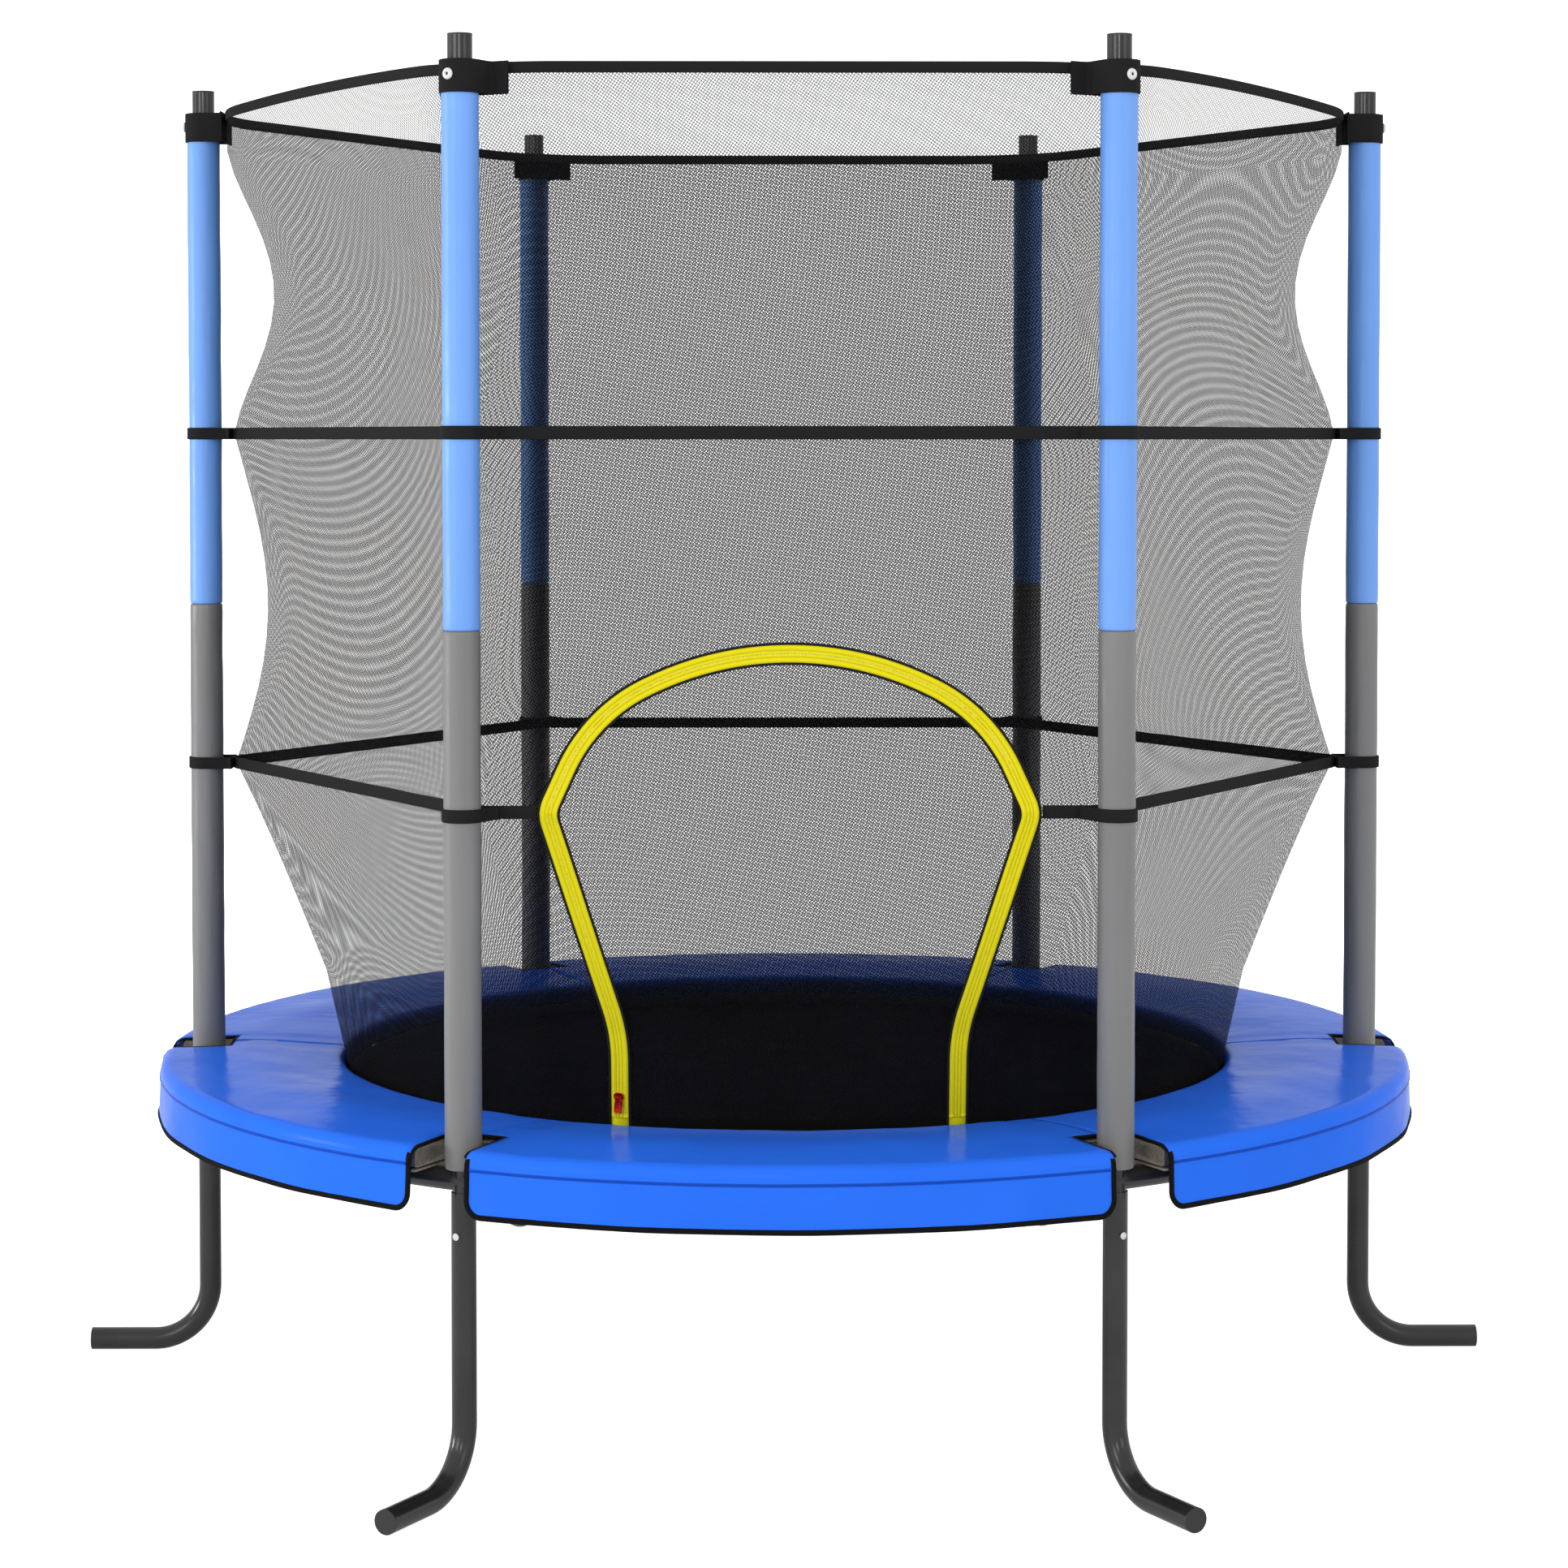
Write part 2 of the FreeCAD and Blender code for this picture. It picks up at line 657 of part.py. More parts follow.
def net_levels():
    """Height, corner radius and corner rounding of the net, in tiers that meet in a fold."""

    def level(height, radius, rounding):
        return (float(height), float(radius), float(rounding))

    foot = level(net_foot_height, net_foot_radius, net_foot_rounding)
    knee = level(net_knee_height, net_knee_radius, net_knee_rounding)
    band = level(lower_band_height, net_band_radius, net_band_rounding)
    upper = level(upper_band_height, net_band_radius, net_band_rounding)
    shoulder = level(net_shoulder_height, net_top_radius, net_top_rounding)
    top = level(net_top_height, net_top_radius, net_top_rounding)

    def between(low, high, share, radius, rounding):
        return level(blend_sizes(low[0], high[0], share), radius, rounding)

    rise = [
        between(knee, band, 0.27, blend_sizes(knee[1], band[1], 0.25), net_calf_rounding),
        between(knee, band, 0.52, blend_sizes(knee[1], band[1], 0.49), net_thigh_rounding),
    ]
    waist = float(net_lower_waist)
    middle = [
        between(band, upper, 0.22, blend_sizes(waist, band[1], 0.34), net_lower_rounding),
        between(band, upper, 0.48, waist, net_waist_rounding),
        between(band, upper, 0.75, blend_sizes(waist, band[1], 0.34), net_lower_rounding),
    ]
    neck = float(net_upper_waist)
    high = [
        between(upper, shoulder, 0.27, blend_sizes(neck, upper[1], 0.33), net_rise_rounding),
        between(upper, shoulder, 0.52, neck, net_neck_rounding),
        between(upper, shoulder, 0.78, blend_sizes(neck, shoulder[1], 0.47), net_nape_rounding),
    ]
    return [
        [foot, knee],
        [knee] + rise + [band],
        [band] + middle + [upper],
        [upper] + high + [shoulder],
        [shoulder, top],
    ]


def net_section(height, corner, rounding, half_angle, inner, outer):
    """Closed outline of a panel's wall at one height. Both faces are a line between two arcs
    about the same centres, and the ends lie in the planes of the poles."""
    half = math.radians(half_angle)
    centre_x = (corner - rounding) * math.cos(half)
    centre_y = (corner - rounding) * math.sin(half)

    def point(offset, share, side):
        reach = rounding + offset
        x = centre_x + reach * math.cos(half * share)
        y = centre_y + reach * math.sin(half * share)
        return Vector(x, side * y, height)

    def arc(offset, side, first, last):
        middle = (first + last) / 2
        places = [point(offset, share, side) for share in (first, middle, last)]
        return Part.Arc(*places).toShape()

    def line(first, last):
        return Part.LineSegment(first, last).toShape()

    return Part.Wire([
        arc(outer, -1, 1, 0),
        line(point(outer, 0, -1), point(outer, 0, 1)),
        arc(outer, 1, 0, 1),
        line(point(outer, 1, 1), point(inner, 1, 1)),
        arc(inner, 1, 1, 0),
        line(point(inner, 0, 1), point(inner, 0, -1)),
        arc(inner, -1, 0, 1),
        line(point(inner, 1, -1), point(outer, 1, -1)),
    ])


def net_wall(half_angle, inner, outer, tiers):
    """The wall of one panel, facing +X, through the given tiers."""
    walls = []
    for tier in tiers:
        outlines = [net_section(*level, half_angle, float(inner), float(outer)) for level in tier]
        walls.append(Part.makeLoft(outlines, True, len(tier) == 2, False))
    if len(walls) == 1:
        return walls[0]
    return walls[0].multiFuse(walls[1:])


# The zip line seen from the front: one half as arcs and lines, from the foot up
def zip_half(offset, side):
    """Edges of one half of the zip line, moved outwards by offset, with its foot at height 0.
    The line's corners are rounded with arcs, which keep their centres when it is moved."""
    corners = [
        (float(door_foot_half), 0.0, 0.0),
        (float(door_foot_half), float(net_knee_height), -float(door_knee_bend)),
        (float(door_hip_half), float(door_hip_height), float(door_hip_bend)),
        (float(door_shoulder_half), float(door_shoulder_height), float(door_shoulder_bend)),
        (0.0, float(door_apex_height), float(door_apex_bend)),
        (-float(door_shoulder_half), float(door_shoulder_height), 0.0),
    ]
    edges = []
    last = None
    for k in range(1, 5):
        here = Vector(0, corners[k][0], corners[k][1])
        before = (here - Vector(0, corners[k - 1][0], corners[k - 1][1])).normalize()
        after = (Vector(0, corners[k + 1][0], corners[k + 1][1]) - here).normalize()
        bend = corners[k][2]
        turn = before.getAngle(after)
        reach = abs(bend) * math.tan(turn / 2)
        out_before = Vector(0, before.z, -before.y)
        out_after = Vector(0, after.z, -after.y)
        start = here - before * reach
        centre = start - out_before * bend
        first = centre + out_before * (bend + offset)
        final = centre + out_after * (bend + offset)
        if k == 1:
            last = Vector(0, first.y, 0)
        middle_out = (out_before + out_after).normalize()
        if k == 4:
            final = Vector(0, 0, centre.z + bend + offset)
            middle_out = (out_before + UP).normalize()
        middle = centre + middle_out * (bend + offset)
        points = [Vector(0, side * p.y, p.z) for p in (last, first, middle, final)]
        edges.append(Part.LineSegment(points[0], points[1]).toShape())
        edges.append(Part.Arc(points[1], points[2], points[3]).toShape())
        last = final
    return edges


def door_prism(offset, foot):
    """The door's outline moved outwards by offset, cut off below foot, run through the wall."""
    right = zip_half(float(offset), 1)
    left = zip_half(float(offset), -1)
    width = float(door_foot_half) + float(offset)
    closing = Part.LineSegment(Vector(0, -width, 0), Vector(0, width, 0)).toShape()
    outline = Part.Wire(Part.__sortEdges__(right + left + [closing]))
    reach = float(pole_circle_radius)
    prism = Part.Face(outline).extrude(Vector(reach, 0, 0))
    below = Part.makeBox(reach, 2 * reach, float(foot), Vector(0, -reach, 0))
    return prism.cut(below)


tiers = net_levels()
front_half = 90 - side_angle
half_net = net_thickness / 2
front_wall = net_wall(front_half, -half_net, half_net, tiers)
door_low = door_hinge_height - seat_gap
front_place = turned(-90)
front_net = front_wall.cut(door_prism(net_edge_offset, door_low))
for name, start, sweep in stretches:
    if name == "front":
        node("net_panel_front", plain("net_panel_front", front_net, front_place))
    else:
        wall = net_wall(sweep / 2, -half_net, half_net, tiers)
        node("net_panel_" + name, plain("net_panel_" + name, wall, turned(start + sweep / 2)))

door_net = front_wall.common(door_prism(-net_edge_offset, door_hinge_height))
node("door_net", plain("door_net", door_net, front_place))

coil_outer = webbing_inner + coil_thickness
door_tiers = tiers[:3]
tape_wall = net_wall(front_half, webbing_inner, webbing_outer, door_tiers)
coil_wall = net_wall(front_half, webbing_inner, coil_outer, door_tiers)
coil_far = zip_split + coil_width
zip_pieces = [
    ("zip_tape_frame_side", tape_wall, zip_half_width, coil_far, zip_foot_height),
    ("zip_teeth_frame_side", coil_wall, coil_far, zip_split, zip_foot_height),
    ("zip_tape_door_side", tape_wall, -coil_far, -zip_half_width, door_hinge_height),
    ("zip_teeth_door_side", coil_wall, -zip_split, -coil_far, door_hinge_height),
]
for name, wall, far, near, foot in zip_pieces:
    strip = door_prism(far, foot).cut(door_prism(near, foot))
    node(name, plain(name, wall.common(strip), front_place))


# Webbing bands and top hem, on the outside of the net
def net_band(height, width, corner, rounding):
    """A closed band round all six panels, its lower edge at height."""
    pieces = []
    for name, start, sweep in stretches:
        outline = net_section(
            float(height),
            float(corner),
            float(rounding),
            sweep / 2,
            float(webbing_inner),
            float(webbing_outer),
        )
        piece = Part.Face(outline).extrude(Vector(0, 0, float(width)))
        piece.Placement = turned(start + sweep / 2)
        pieces.append(piece)
    return pieces[0].multiFuse(pieces[1:]).removeSplitter()


top_hem = net_band(net_top_height - hem_width, hem_width, net_top_radius, net_top_rounding)
node("top_hem", plain("top_hem", top_hem))
upper_band_foot = upper_band_height - band_width / 2
upper_band = net_band(upper_band_foot, band_width, net_band_radius, net_band_rounding)
node("upper_band", plain("upper_band", upper_band))
lower_band_foot = lower_band_height - band_width / 2
lower_band = net_band(lower_band_foot, band_width, net_band_radius, net_band_rounding)
door_gap = 2 * float(door_hip_half + zip_half_width + seat_gap)
gap_corner = Vector(-door_gap / 2, -float(pole_circle_radius), float(lower_band_foot))
gap_box = Part.makeBox(door_gap, float(pole_circle_radius), float(band_width), gap_corner)
node("lower_band", plain("lower_band", lower_band.cut(gap_box)))


# Zip slider on the straight foot of the left zip, and its pull
def foot_wall_point(side_offset, height):
    """A point on the middle of the front net wall below the knee, and the wall's normal there."""
    (low_z, low_corner, low_round), (high_z, high_corner, high_round) = tiers[0]
    share = (height - low_z) / (high_z - low_z)
    corner = blend_sizes(low_corner, high_corner, share)
    rounding = blend_sizes(low_round, high_round, share)
    half = math.radians(front_half)
    centre_x = (corner - rounding) * math.cos(half)
    centre_y = (corner - rounding) * math.sin(half)
    sine = (abs(side_offset) - centre_y) / rounding
    x = centre_x + rounding * math.sqrt(1 - sine * sine)
    return Vector(x, side_offset, height)


zip_side = -float(door_foot_half)
slide_low = foot_wall_point(zip_side, float(slider_height - slider_length / 2))
slide_high = foot_wall_point(zip_side, float(slider_height + slider_travel))
track = (slide_high - slide_low).normalize()
beside = foot_wall_point(zip_side + 2, float(slider_height))
beside = beside - foot_wall_point(zip_side - 2, float(slider_height))
normal = beside.cross(track).normalize()
across = track.cross(normal)
slider_turn = Rotation(normal, across, track, "XYZ")
slider_centre = foot_wall_point(zip_side, float(slider_height))
slider_place = front_place.multiply(Placement(slider_centre, slider_turn))
neck_turn = Rotation(SIDEWAYS.cross(track), SIDEWAYS, track, "XYZ")
neck_place = front_place.multiply(Placement(slider_centre, neck_turn))

front_plate_face = coil_outer + slider_clearance
neck_low = -slider_length * 4 / 9
neck_length = slider_length / 3
back_plate_top = webbing_inner - slider_clearance
front_plate = box(
    "slider_front",
    slider_plate,
    slider_width,
    slider_length,
    front_plate_face,
    -slider_width / 2,
    -slider_length / 2,
)
neck_foot = back_plate_top - slider_plate / 3
neck = box(
    "slider_neck_web",
    front_plate_face + slider_plate / 2 - neck_foot,
    slider_neck,
    neck_length,
    neck_foot,
    -slider_neck / 2,
    neck_low,
)
back_reach = coil_far + slider_clearance
back_plate = box(
    "slider_back",
    slider_plate * 0.8,
    back_reach + slider_neck / 2,
    neck_length,
    back_plate_top - slider_plate * 0.8,
    -slider_neck / 2,
    neck_low,
)
pin_out = front_plate_face + slider_plate + pull_pin_diameter * 1.5
pin_up = slider_length / 4
lug_gap = pull_width / 4
lug_thickness = pull_pin_diameter * 0.75
lugs = []
for side, low in (("left", -lug_gap - lug_thickness), ("right", lug_gap)):
    lugs.append(box(
        "slider_lug_" + side,
        pull_pin_diameter * 2.5,
        lug_thickness,
        pull_pin_diameter * 2,
        front_plate_face + slider_plate,
        low,
        pin_up - pull_pin_diameter,
    ))
pin = cylinder(
    "slider_pin",
    pull_pin_diameter / 2,
    (lug_gap + lug_thickness) * 2,
    x=pin_out,
    y=-lug_gap - lug_thickness,
    z=pin_up,
    along=SIDEWAYS,
)
for thing in (front_plate, back_plate, pin, *lugs):
    thing.Placement = slider_place.multiply(thing.Placement)
neck.Placement = neck_place.multiply(neck.Placement)
node("zip_slider", fuse("zip_slider", front_plate, neck, back_plate, pin, *lugs))

eye_half = lug_gap - slider_clearance
eye = cylinder(
    "pull_eye_round", pull_pin_diameter * 1.25, eye_half * 2, x=pin_out, y=-eye_half, z=pin_up, along=SIDEWAYS
)
eye_bore = cylinder(
    "pull_eye_bore",
    pull_pin_diameter / 2 + sliding_fit,
    eye_half * 2,
    x=pin_out,
    y=-eye_half,
    z=pin_up,
    along=SIDEWAYS,
)
stem_length = pull_pin_diameter * 2.5
stem = box(
    "pull_stem",
    pull_thickness,
    eye_half * 2,
    stem_length,
    pin_out - pull_thickness / 2,
    -eye_half,
    pin_up - stem_length - pull_pin_diameter / 2,
)
tab = box(
    "pull_tab_plate",
    pull_thickness,
    pull_width,
    pull_length - stem_length,
    pin_out - pull_thickness / 2,
    -pull_width / 2,
    pin_up - pull_length,
)
pull = cut("zip_pull", fuse("pull_solid", eye, stem, tab), eye_bore)
pull.Placement = slider_place
node("zip_pull", pull)

# Jump mat, V-rings and springs
mat = cylinder("jump_mat", mat_radius, mat_thickness, z=frame_height - mat_thickness / 2)
node("jump_mat", mat)


def v_ring():
    """A triangle of round wire, its point outwards, lying flat at the level of the mat."""
    wire = float(v_ring_wire) / 2
    inner = float(mat_radius + seat_gap) + wire
    outer = inner + float(v_ring_length) - 2 * wire
    level = float(frame_height)
    half = float(v_ring_half_width)
    corners = [Vector(inner, -half, level), Vector(inner, half, level), Vector(outer, 0, level)]
    solid = None
    for k in range(3):
        here = corners[k]
        there = corners[(k + 1) % 3]
        side = Part.makeCylinder(wire, (there - here).Length, here, there - here)
        piece = side.fuse(Part.makeSphere(wire, here))
        solid = piece if solid is None else solid.fuse(piece)
    return solid


def spring_solid():
    """A tension spring as its outer form, a coil between two hooks, along X."""
    level = float(frame_height)
    inner = float(mat_radius + seat_gap * 2 + v_ring_length)
    outer = float(pole_circle_radius - frame_radius + tube_wall / 2)
    hook = float(spring_hook_length)
    wire = float(spring_hook_wire) / 2
    coil_start = Vector(inner + hook, 0, level)
    coil = Part.makeCylinder(float(spring_diameter) / 2, outer - inner - 2 * hook, coil_start, OUTWARD)
    return coil.fuse(Part.makeCylinder(wire, outer - inner, Vector(inner, 0, level), OUTWARD))


spring_places = [turned(angle) for angle in spring_angles()]
node("v_rings", copies("v_rings", v_ring(), spring_places))
node("springs", copies("springs", spring_solid(), spring_places))


# Elastic ties from the foot of the net to the frame tube, above the springs
def net_tie():
    level = frame_height + spring_diameter / 2 + tie_diameter / 2 + seat_gap * 4
    inner = float(net_foot_radius + net_thickness / 2 + seat_gap * 3)
    rise = float(level - frame_height - tie_diameter / 2)
    outer = float(pole_circle_radius - seat_gap) - math.sqrt(float(frame_radius) ** 2 - rise ** 2)
    return Part.makeCylinder(float(tie_diameter) / 2, outer - inner, Vector(inner, 0, float(level)), OUTWARD)


tie_places = []
for name, start, sweep in stretches:
    for share in (1 / 6, 5 / 6):
        tie_places.append(turned(start + sweep * share))
node("net_ties", copies("net_ties", net_tie(), tie_places))

# Frame pad: a fabric cover with a skirt, a foam core and piping, between each two poles
pad_foot = frame_top + pad_rest_gap
pad_top = pad_foot + pad_thickness
pad_rim = pad_top + pad_rim_rise
skirt_foot = pad_foot - skirt_drop
skirt_inner = skirt_radius - skirt_thickness
cavity_inner = pad_inner_radius + cover_thickness
cavity_foot = pad_foot + cover_thickness
cavity_top = pad_top - cover_thickness
pad_middle = (pad_inner_radius + skirt_radius) / 2
pad_crest = (pad_top + pad_rim) / 2 + pad_crown
shoulder_drop = pad_rim_rise * 2


def pad_sector(name, outlines, start, sweep, notch_extra):
    """Outlines turned from pole to pole, with the cut-outs for the two poles."""
    ring = turned_body(name + "_ring", outlines, sweep)
    ring.Placement = turned(start)
    tools = []
    half = notch_half_width + notch_extra
    for pole in (start, start + sweep):
        notch = box(
            f"{name}_notch_{len(tools) + 1}",
            skirt_radius,
            half * 2,
            overall_height,
            -notch_depth - notch_extra,
            -half,
            0,
        )
        notch.Placement = at_pole(pole).multiply(notch.Placement)
        tools.append(notch)
    return cut(name, ring, *tools)


cover_outline = [
    (pad_inner_radius, pad_foot),
    (skirt_inner, pad_foot),
    (skirt_inner, skirt_foot),
    (skirt_radius, skirt_foot),
    (skirt_radius, pad_rim - shoulder_drop),
    (skirt_radius - shoulder_drop, pad_rim),
    (pad_middle, pad_crest),
    (pad_inner_radius, pad_top),
]
cavity_rim = skirt_radius - shoulder_drop - cover_thickness
cavity_outline = [
    (cavity_inner, cavity_foot),
    (cavity_rim, cavity_foot),
    (cavity_rim, pad_rim - cover_thickness),
    (pad_middle, pad_crest - cover_thickness),
    (cavity_inner, cavity_top),
]
foam_gap = seat_gap
foam_outline = [
    (cavity_inner + foam_gap, cavity_foot + foam_gap),
    (cavity_rim - foam_gap, cavity_foot + foam_gap),
    (cavity_rim - foam_gap, pad_rim - cover_thickness - foam_gap),
    (pad_middle, pad_crest - cover_thickness - foam_gap),
    (cavity_inner + foam_gap, cavity_top - foam_gap),
]
foam_cores = []
piping = []
for name, start, sweep in stretches:
    cover = pad_sector("pad_" + name, [cover_outline, cavity_outline], start, sweep, 0)
    node("pad_" + name, cover)
    foam_cores.append(pad_sector("foam_" + name, [foam_outline], start, sweep, seat_gap))
    clear = math.degrees(math.asin(float(notch_half_width) / float(skirt_radius)))
    cord_height = skirt_foot - seat_gap - piping_diameter / 2
    piping.append(ring_piece(
        "piping_" + name,
        skirt_radius - piping_diameter / 2,
        piping_diameter / 2,
        sweep - 2 * clear,
        start + clear,
        cord_height,
    ))
node("pad_foam_cores", group("pad_foam_cores", foam_cores))
node("skirt_piping", group("skirt_piping", piping))

doc.recompute()

# Check everything before a file is written
faults = []
for thing in doc.Objects:
    if "Invalid" in thing.State or "Error" in thing.State:
        faults.append(f"{thing.Name}: {thing.State}")
for thing in nodes:
    if thing.Shape.isNull() or not thing.Shape.isValid():
        faults.append(f"{thing.Label}: shape not valid")
    elif not thing.Shape.Solids:
        faults.append(f"{thing.Label}: no solid")
if faults:
    raise RuntimeError("; ".join(faults))

os.makedirs("parts", exist_ok=True)
for thing in nodes:
    thing.Shape.exportStep(f"parts/{thing.Label}.step")
    limits = thing.Shape.BoundBox
    print(
        f"{thing.Label}: {len(thing.Shape.Solids)} solids, volume {thing.Shape.Volume:.0f}, "
        f"x {limits.XMin:.1f} {limits.XMax:.1f} y {limits.YMin:.1f} {limits.YMax:.1f} "
        f"z {limits.ZMin:.1f} {limits.ZMax:.1f}"
    )
pin_place = slider_place.multVec(Vector(float(pin_out), 0, float(pin_up)))
print("slider at", slider_place.Base, "track", front_place.Rotation.multVec(track))
print("pull pin at", pin_place, "axis", front_place.Rotation.multVec(across))
print(len(nodes), "nodes")
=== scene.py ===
"""Looks of the garden trampoline with a safety net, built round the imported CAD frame.

Metres, +Z up, the net door faces -Y. Soft pieces are surfaces worked out with numpy: a grid of
points over two parameters, or a profile carried along a path. The steel stays as the CAD made it.
"""
import math

import bmesh
import bpy
import numpy as np
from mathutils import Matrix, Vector


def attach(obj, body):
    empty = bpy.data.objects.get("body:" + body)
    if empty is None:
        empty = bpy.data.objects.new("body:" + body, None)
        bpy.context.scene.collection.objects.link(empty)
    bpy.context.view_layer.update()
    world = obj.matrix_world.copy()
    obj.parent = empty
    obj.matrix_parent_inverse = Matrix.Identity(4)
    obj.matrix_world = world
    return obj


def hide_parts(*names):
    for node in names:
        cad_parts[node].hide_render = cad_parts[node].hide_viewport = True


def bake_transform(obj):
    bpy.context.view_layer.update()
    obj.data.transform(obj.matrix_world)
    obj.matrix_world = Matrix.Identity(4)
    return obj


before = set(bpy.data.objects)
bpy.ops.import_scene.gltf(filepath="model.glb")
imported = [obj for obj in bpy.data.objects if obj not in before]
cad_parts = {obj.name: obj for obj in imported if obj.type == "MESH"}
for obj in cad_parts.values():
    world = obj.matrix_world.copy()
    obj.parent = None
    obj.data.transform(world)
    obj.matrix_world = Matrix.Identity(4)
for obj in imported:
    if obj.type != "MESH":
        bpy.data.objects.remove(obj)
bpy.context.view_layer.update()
rng = np.random.default_rng(11)

# Places that this file shares with the CAD source
turn = 2 * math.pi
side_angle = math.radians(60.89)
pole_angles = np.array([
    0,
    side_angle,
    math.pi - side_angle,
    math.pi,
    math.pi + side_angle,
    turn - side_angle,
])
stretch_names = ["right_back", "back", "left_back", "left_front", "front", "right_front"]
pole_circle = 0.747
mat_level = 0.358
net_foot = 0.367
net_knee = 0.505
net_shoulder = 1.55
net_top = 1.599
lower_band_height = 0.766
upper_band_height = 1.19
band_width = 0.015
sleeve_radius = 0.021
sleeve_foot = 0.371
sleeve_join = 0.971
sleeve_top = 1.598
webbing_inner = 0.00085
webbing_outer = 0.00235


def stretch(name):
    """Start angle and sweep of the stretch between two poles."""
    k = stretch_names.index(name)
    start = pole_angles[k]
    return start, (pole_angles[(k + 1) % 6] - start) % turn


# Lines and grids of points
def together(*columns):
    """Coordinates side by side as the last axis of one array."""
    return np.stack(np.broadcast_arrays(*columns), -1)


def spread(rows, columns):
    """The row value and the column value at each place of a grid."""
    return np.meshgrid(rows, columns, indexing="ij")


def circle(count):
    """Even turns once round."""
    return np.arange(count) / count * turn


def unit(vectors):
    """The same directions, one metre long."""
    return vectors / np.maximum(np.linalg.norm(vectors, axis=-1, keepdims=True), 1e-12)


def heading(line):
    """The direction of a line at each of its points."""
    return unit(np.gradient(line, axis=0))


def distances(line):
    """How far each point of a line is from its start, along the line."""
    return np.concatenate([[0], np.cumsum(np.linalg.norm(np.diff(line, axis=0), axis=1))])


def resampled(line, step):
    """The same line with points an even step apart."""
    length = distances(line)
    keep = np.concatenate([[True], np.diff(length) > 1e-9])
    length, line = length[keep], line[keep]
    places = np.linspace(0, length[-1], max(2, int(round(length[-1] / step)) + 1))
    return together(*[np.interp(places, length, column) for column in line.T])


def rounded_route(corners, bends, step):
    """A line through corners whose turns are arcs. Each arc touches both of its runs, so it
    starts bend times the tangent of half the turn before the corner."""
    corners = np.asarray(corners, float)
    parts = [corners[:1]]
    for k in range(1, len(corners) - 1):
        before = unit(corners[k] - corners[k - 1])
        after = unit(corners[k + 1] - corners[k])
        angle = math.acos(float(np.clip(before @ after, -1, 1)))
        start = corners[k] - before * bends[k] * math.tan(angle / 2)
        side = unit(after - before * (before @ after))
        swing = np.linspace(0, angle, max(3, int(bends[k] * angle / step)))[:, None]
        parts.append(start + bends[k] * (before * np.sin(swing) + side * (1 - np.cos(swing))))
    parts.append(corners[-1:])
    return resampled(np.concatenate(parts), step)


def at_angle(points, angle):
    """Points of a local frame, whose x points outwards, turned to an angle round the middle."""
    c, s = math.cos(angle), math.sin(angle)
    x, y, z = points[..., 0], points[..., 1], points[..., 2]
    return together(x * c - y * s, x * s + y * c, z)


class Ripple:
    """A gentle uneven surface: a sum of sine waves in mixed directions, their wavelengths
    between low and high, that adds up to about size."""

    def __init__(self, waves, size, low, high):
        towards = rng.uniform(0, turn, waves)
        number = turn / rng.uniform(low, high, waves)
        self.x_part = number * np.cos(towards)
        self.y_part = number * np.sin(towards)
        self.phase = rng.uniform(0, turn, waves)
        self.size = size / math.sqrt(waves)

    def at(self, x, y):
        """The sum of the waves at some places."""
        x, y = np.broadcast_arrays(x, y)
        swing = x[..., None] * self.x_part + y[..., None] * self.y_part + self.phase
        return np.sin(swing).sum(-1) * self.size


# Meshes: patches of quads that are put together into pieces
def patch(points, uv=None, wrap_rows=False, wrap_columns=False, keep=None, finish=0):
    """Quads between the neighbouring points of a (rows, columns, 3) grid, each with the UV of
    its grid places. A wrapped side joins the last row or column to the first one."""
    rows, columns = points.shape[:2]
    if uv is None:
        uv = together(*spread(np.arange(rows + wrap_rows), np.arange(columns + wrap_columns))) * 0.01
    i, j = spread(np.arange(rows - 1 + wrap_rows), np.arange(columns - 1 + wrap_columns))
    if keep is not None:
        i, j = i[keep], j[keep]
    i, j = i.ravel(), j.ravel()
    corners = [(i, j), (i, j + 1), (i + 1, j + 1), (i + 1, j)]
    quads = together(*[(a % rows) * columns + b % columns for a, b in corners])
    loops = np.stack([uv[a, b] for a, b in corners], 1)
    return points.reshape(-1, 3), quads, loops.reshape(-1, 2), finish


def lid(loop, finish=0):
    """Closes a ring of points with a fan to its middle, as a grid whose last row is one point."""
    points = np.stack([loop, np.broadcast_to(loop.mean(0), loop.shape)])
    flat = together(loop[:, 0] + loop[:, 1], loop[:, 2])
    uv = np.stack([flat, np.broadcast_to(flat.mean(0), flat.shape)])
    uv = np.concatenate([uv, uv[:, :1]], 1)
    return patch(points, uv, wrap_columns=True, finish=finish)


def flipped(made):
    """The same patch with its faces turned to the other side."""
    points, quads, loops, finish = made
    loops = loops.reshape(-1, 4, 2)[:, ::-1].reshape(-1, 2)
    return points, quads[:, ::-1], loops, finish


def flipped_if(turned_over, patches):
    """The patches turned to their other side where told."""
    return [flipped(p) for p in patches] if turned_over else patches


def capped(points, uv=None, finish=0):
    """Rings of points joined into a tube, with a lid on its first and last ring."""
    sides = patch(points, uv, wrap_columns=True, finish=finish)
    return [sides, lid(points[0], finish), flipped(lid(points[-1], finish))]


def swept(path, out, up, profile, closed_path=False):
    """A closed profile carried along a path: each point is the path's point, plus the profile's
    first number times out, plus its second number times up."""
    points = path[:, None] + profile[None, :, :1] * out[:, None] + profile[None, :, 1:] * up[:, None]
    along = distances(np.concatenate([path, path[:1]]) if closed_path else path)
    around = distances(np.concatenate([profile, profile[:1]]))
    uv = together(*spread(along, around))
    if closed_path:
        return [patch(points, uv, wrap_rows=True, wrap_columns=True)]
    return capped(points, uv)


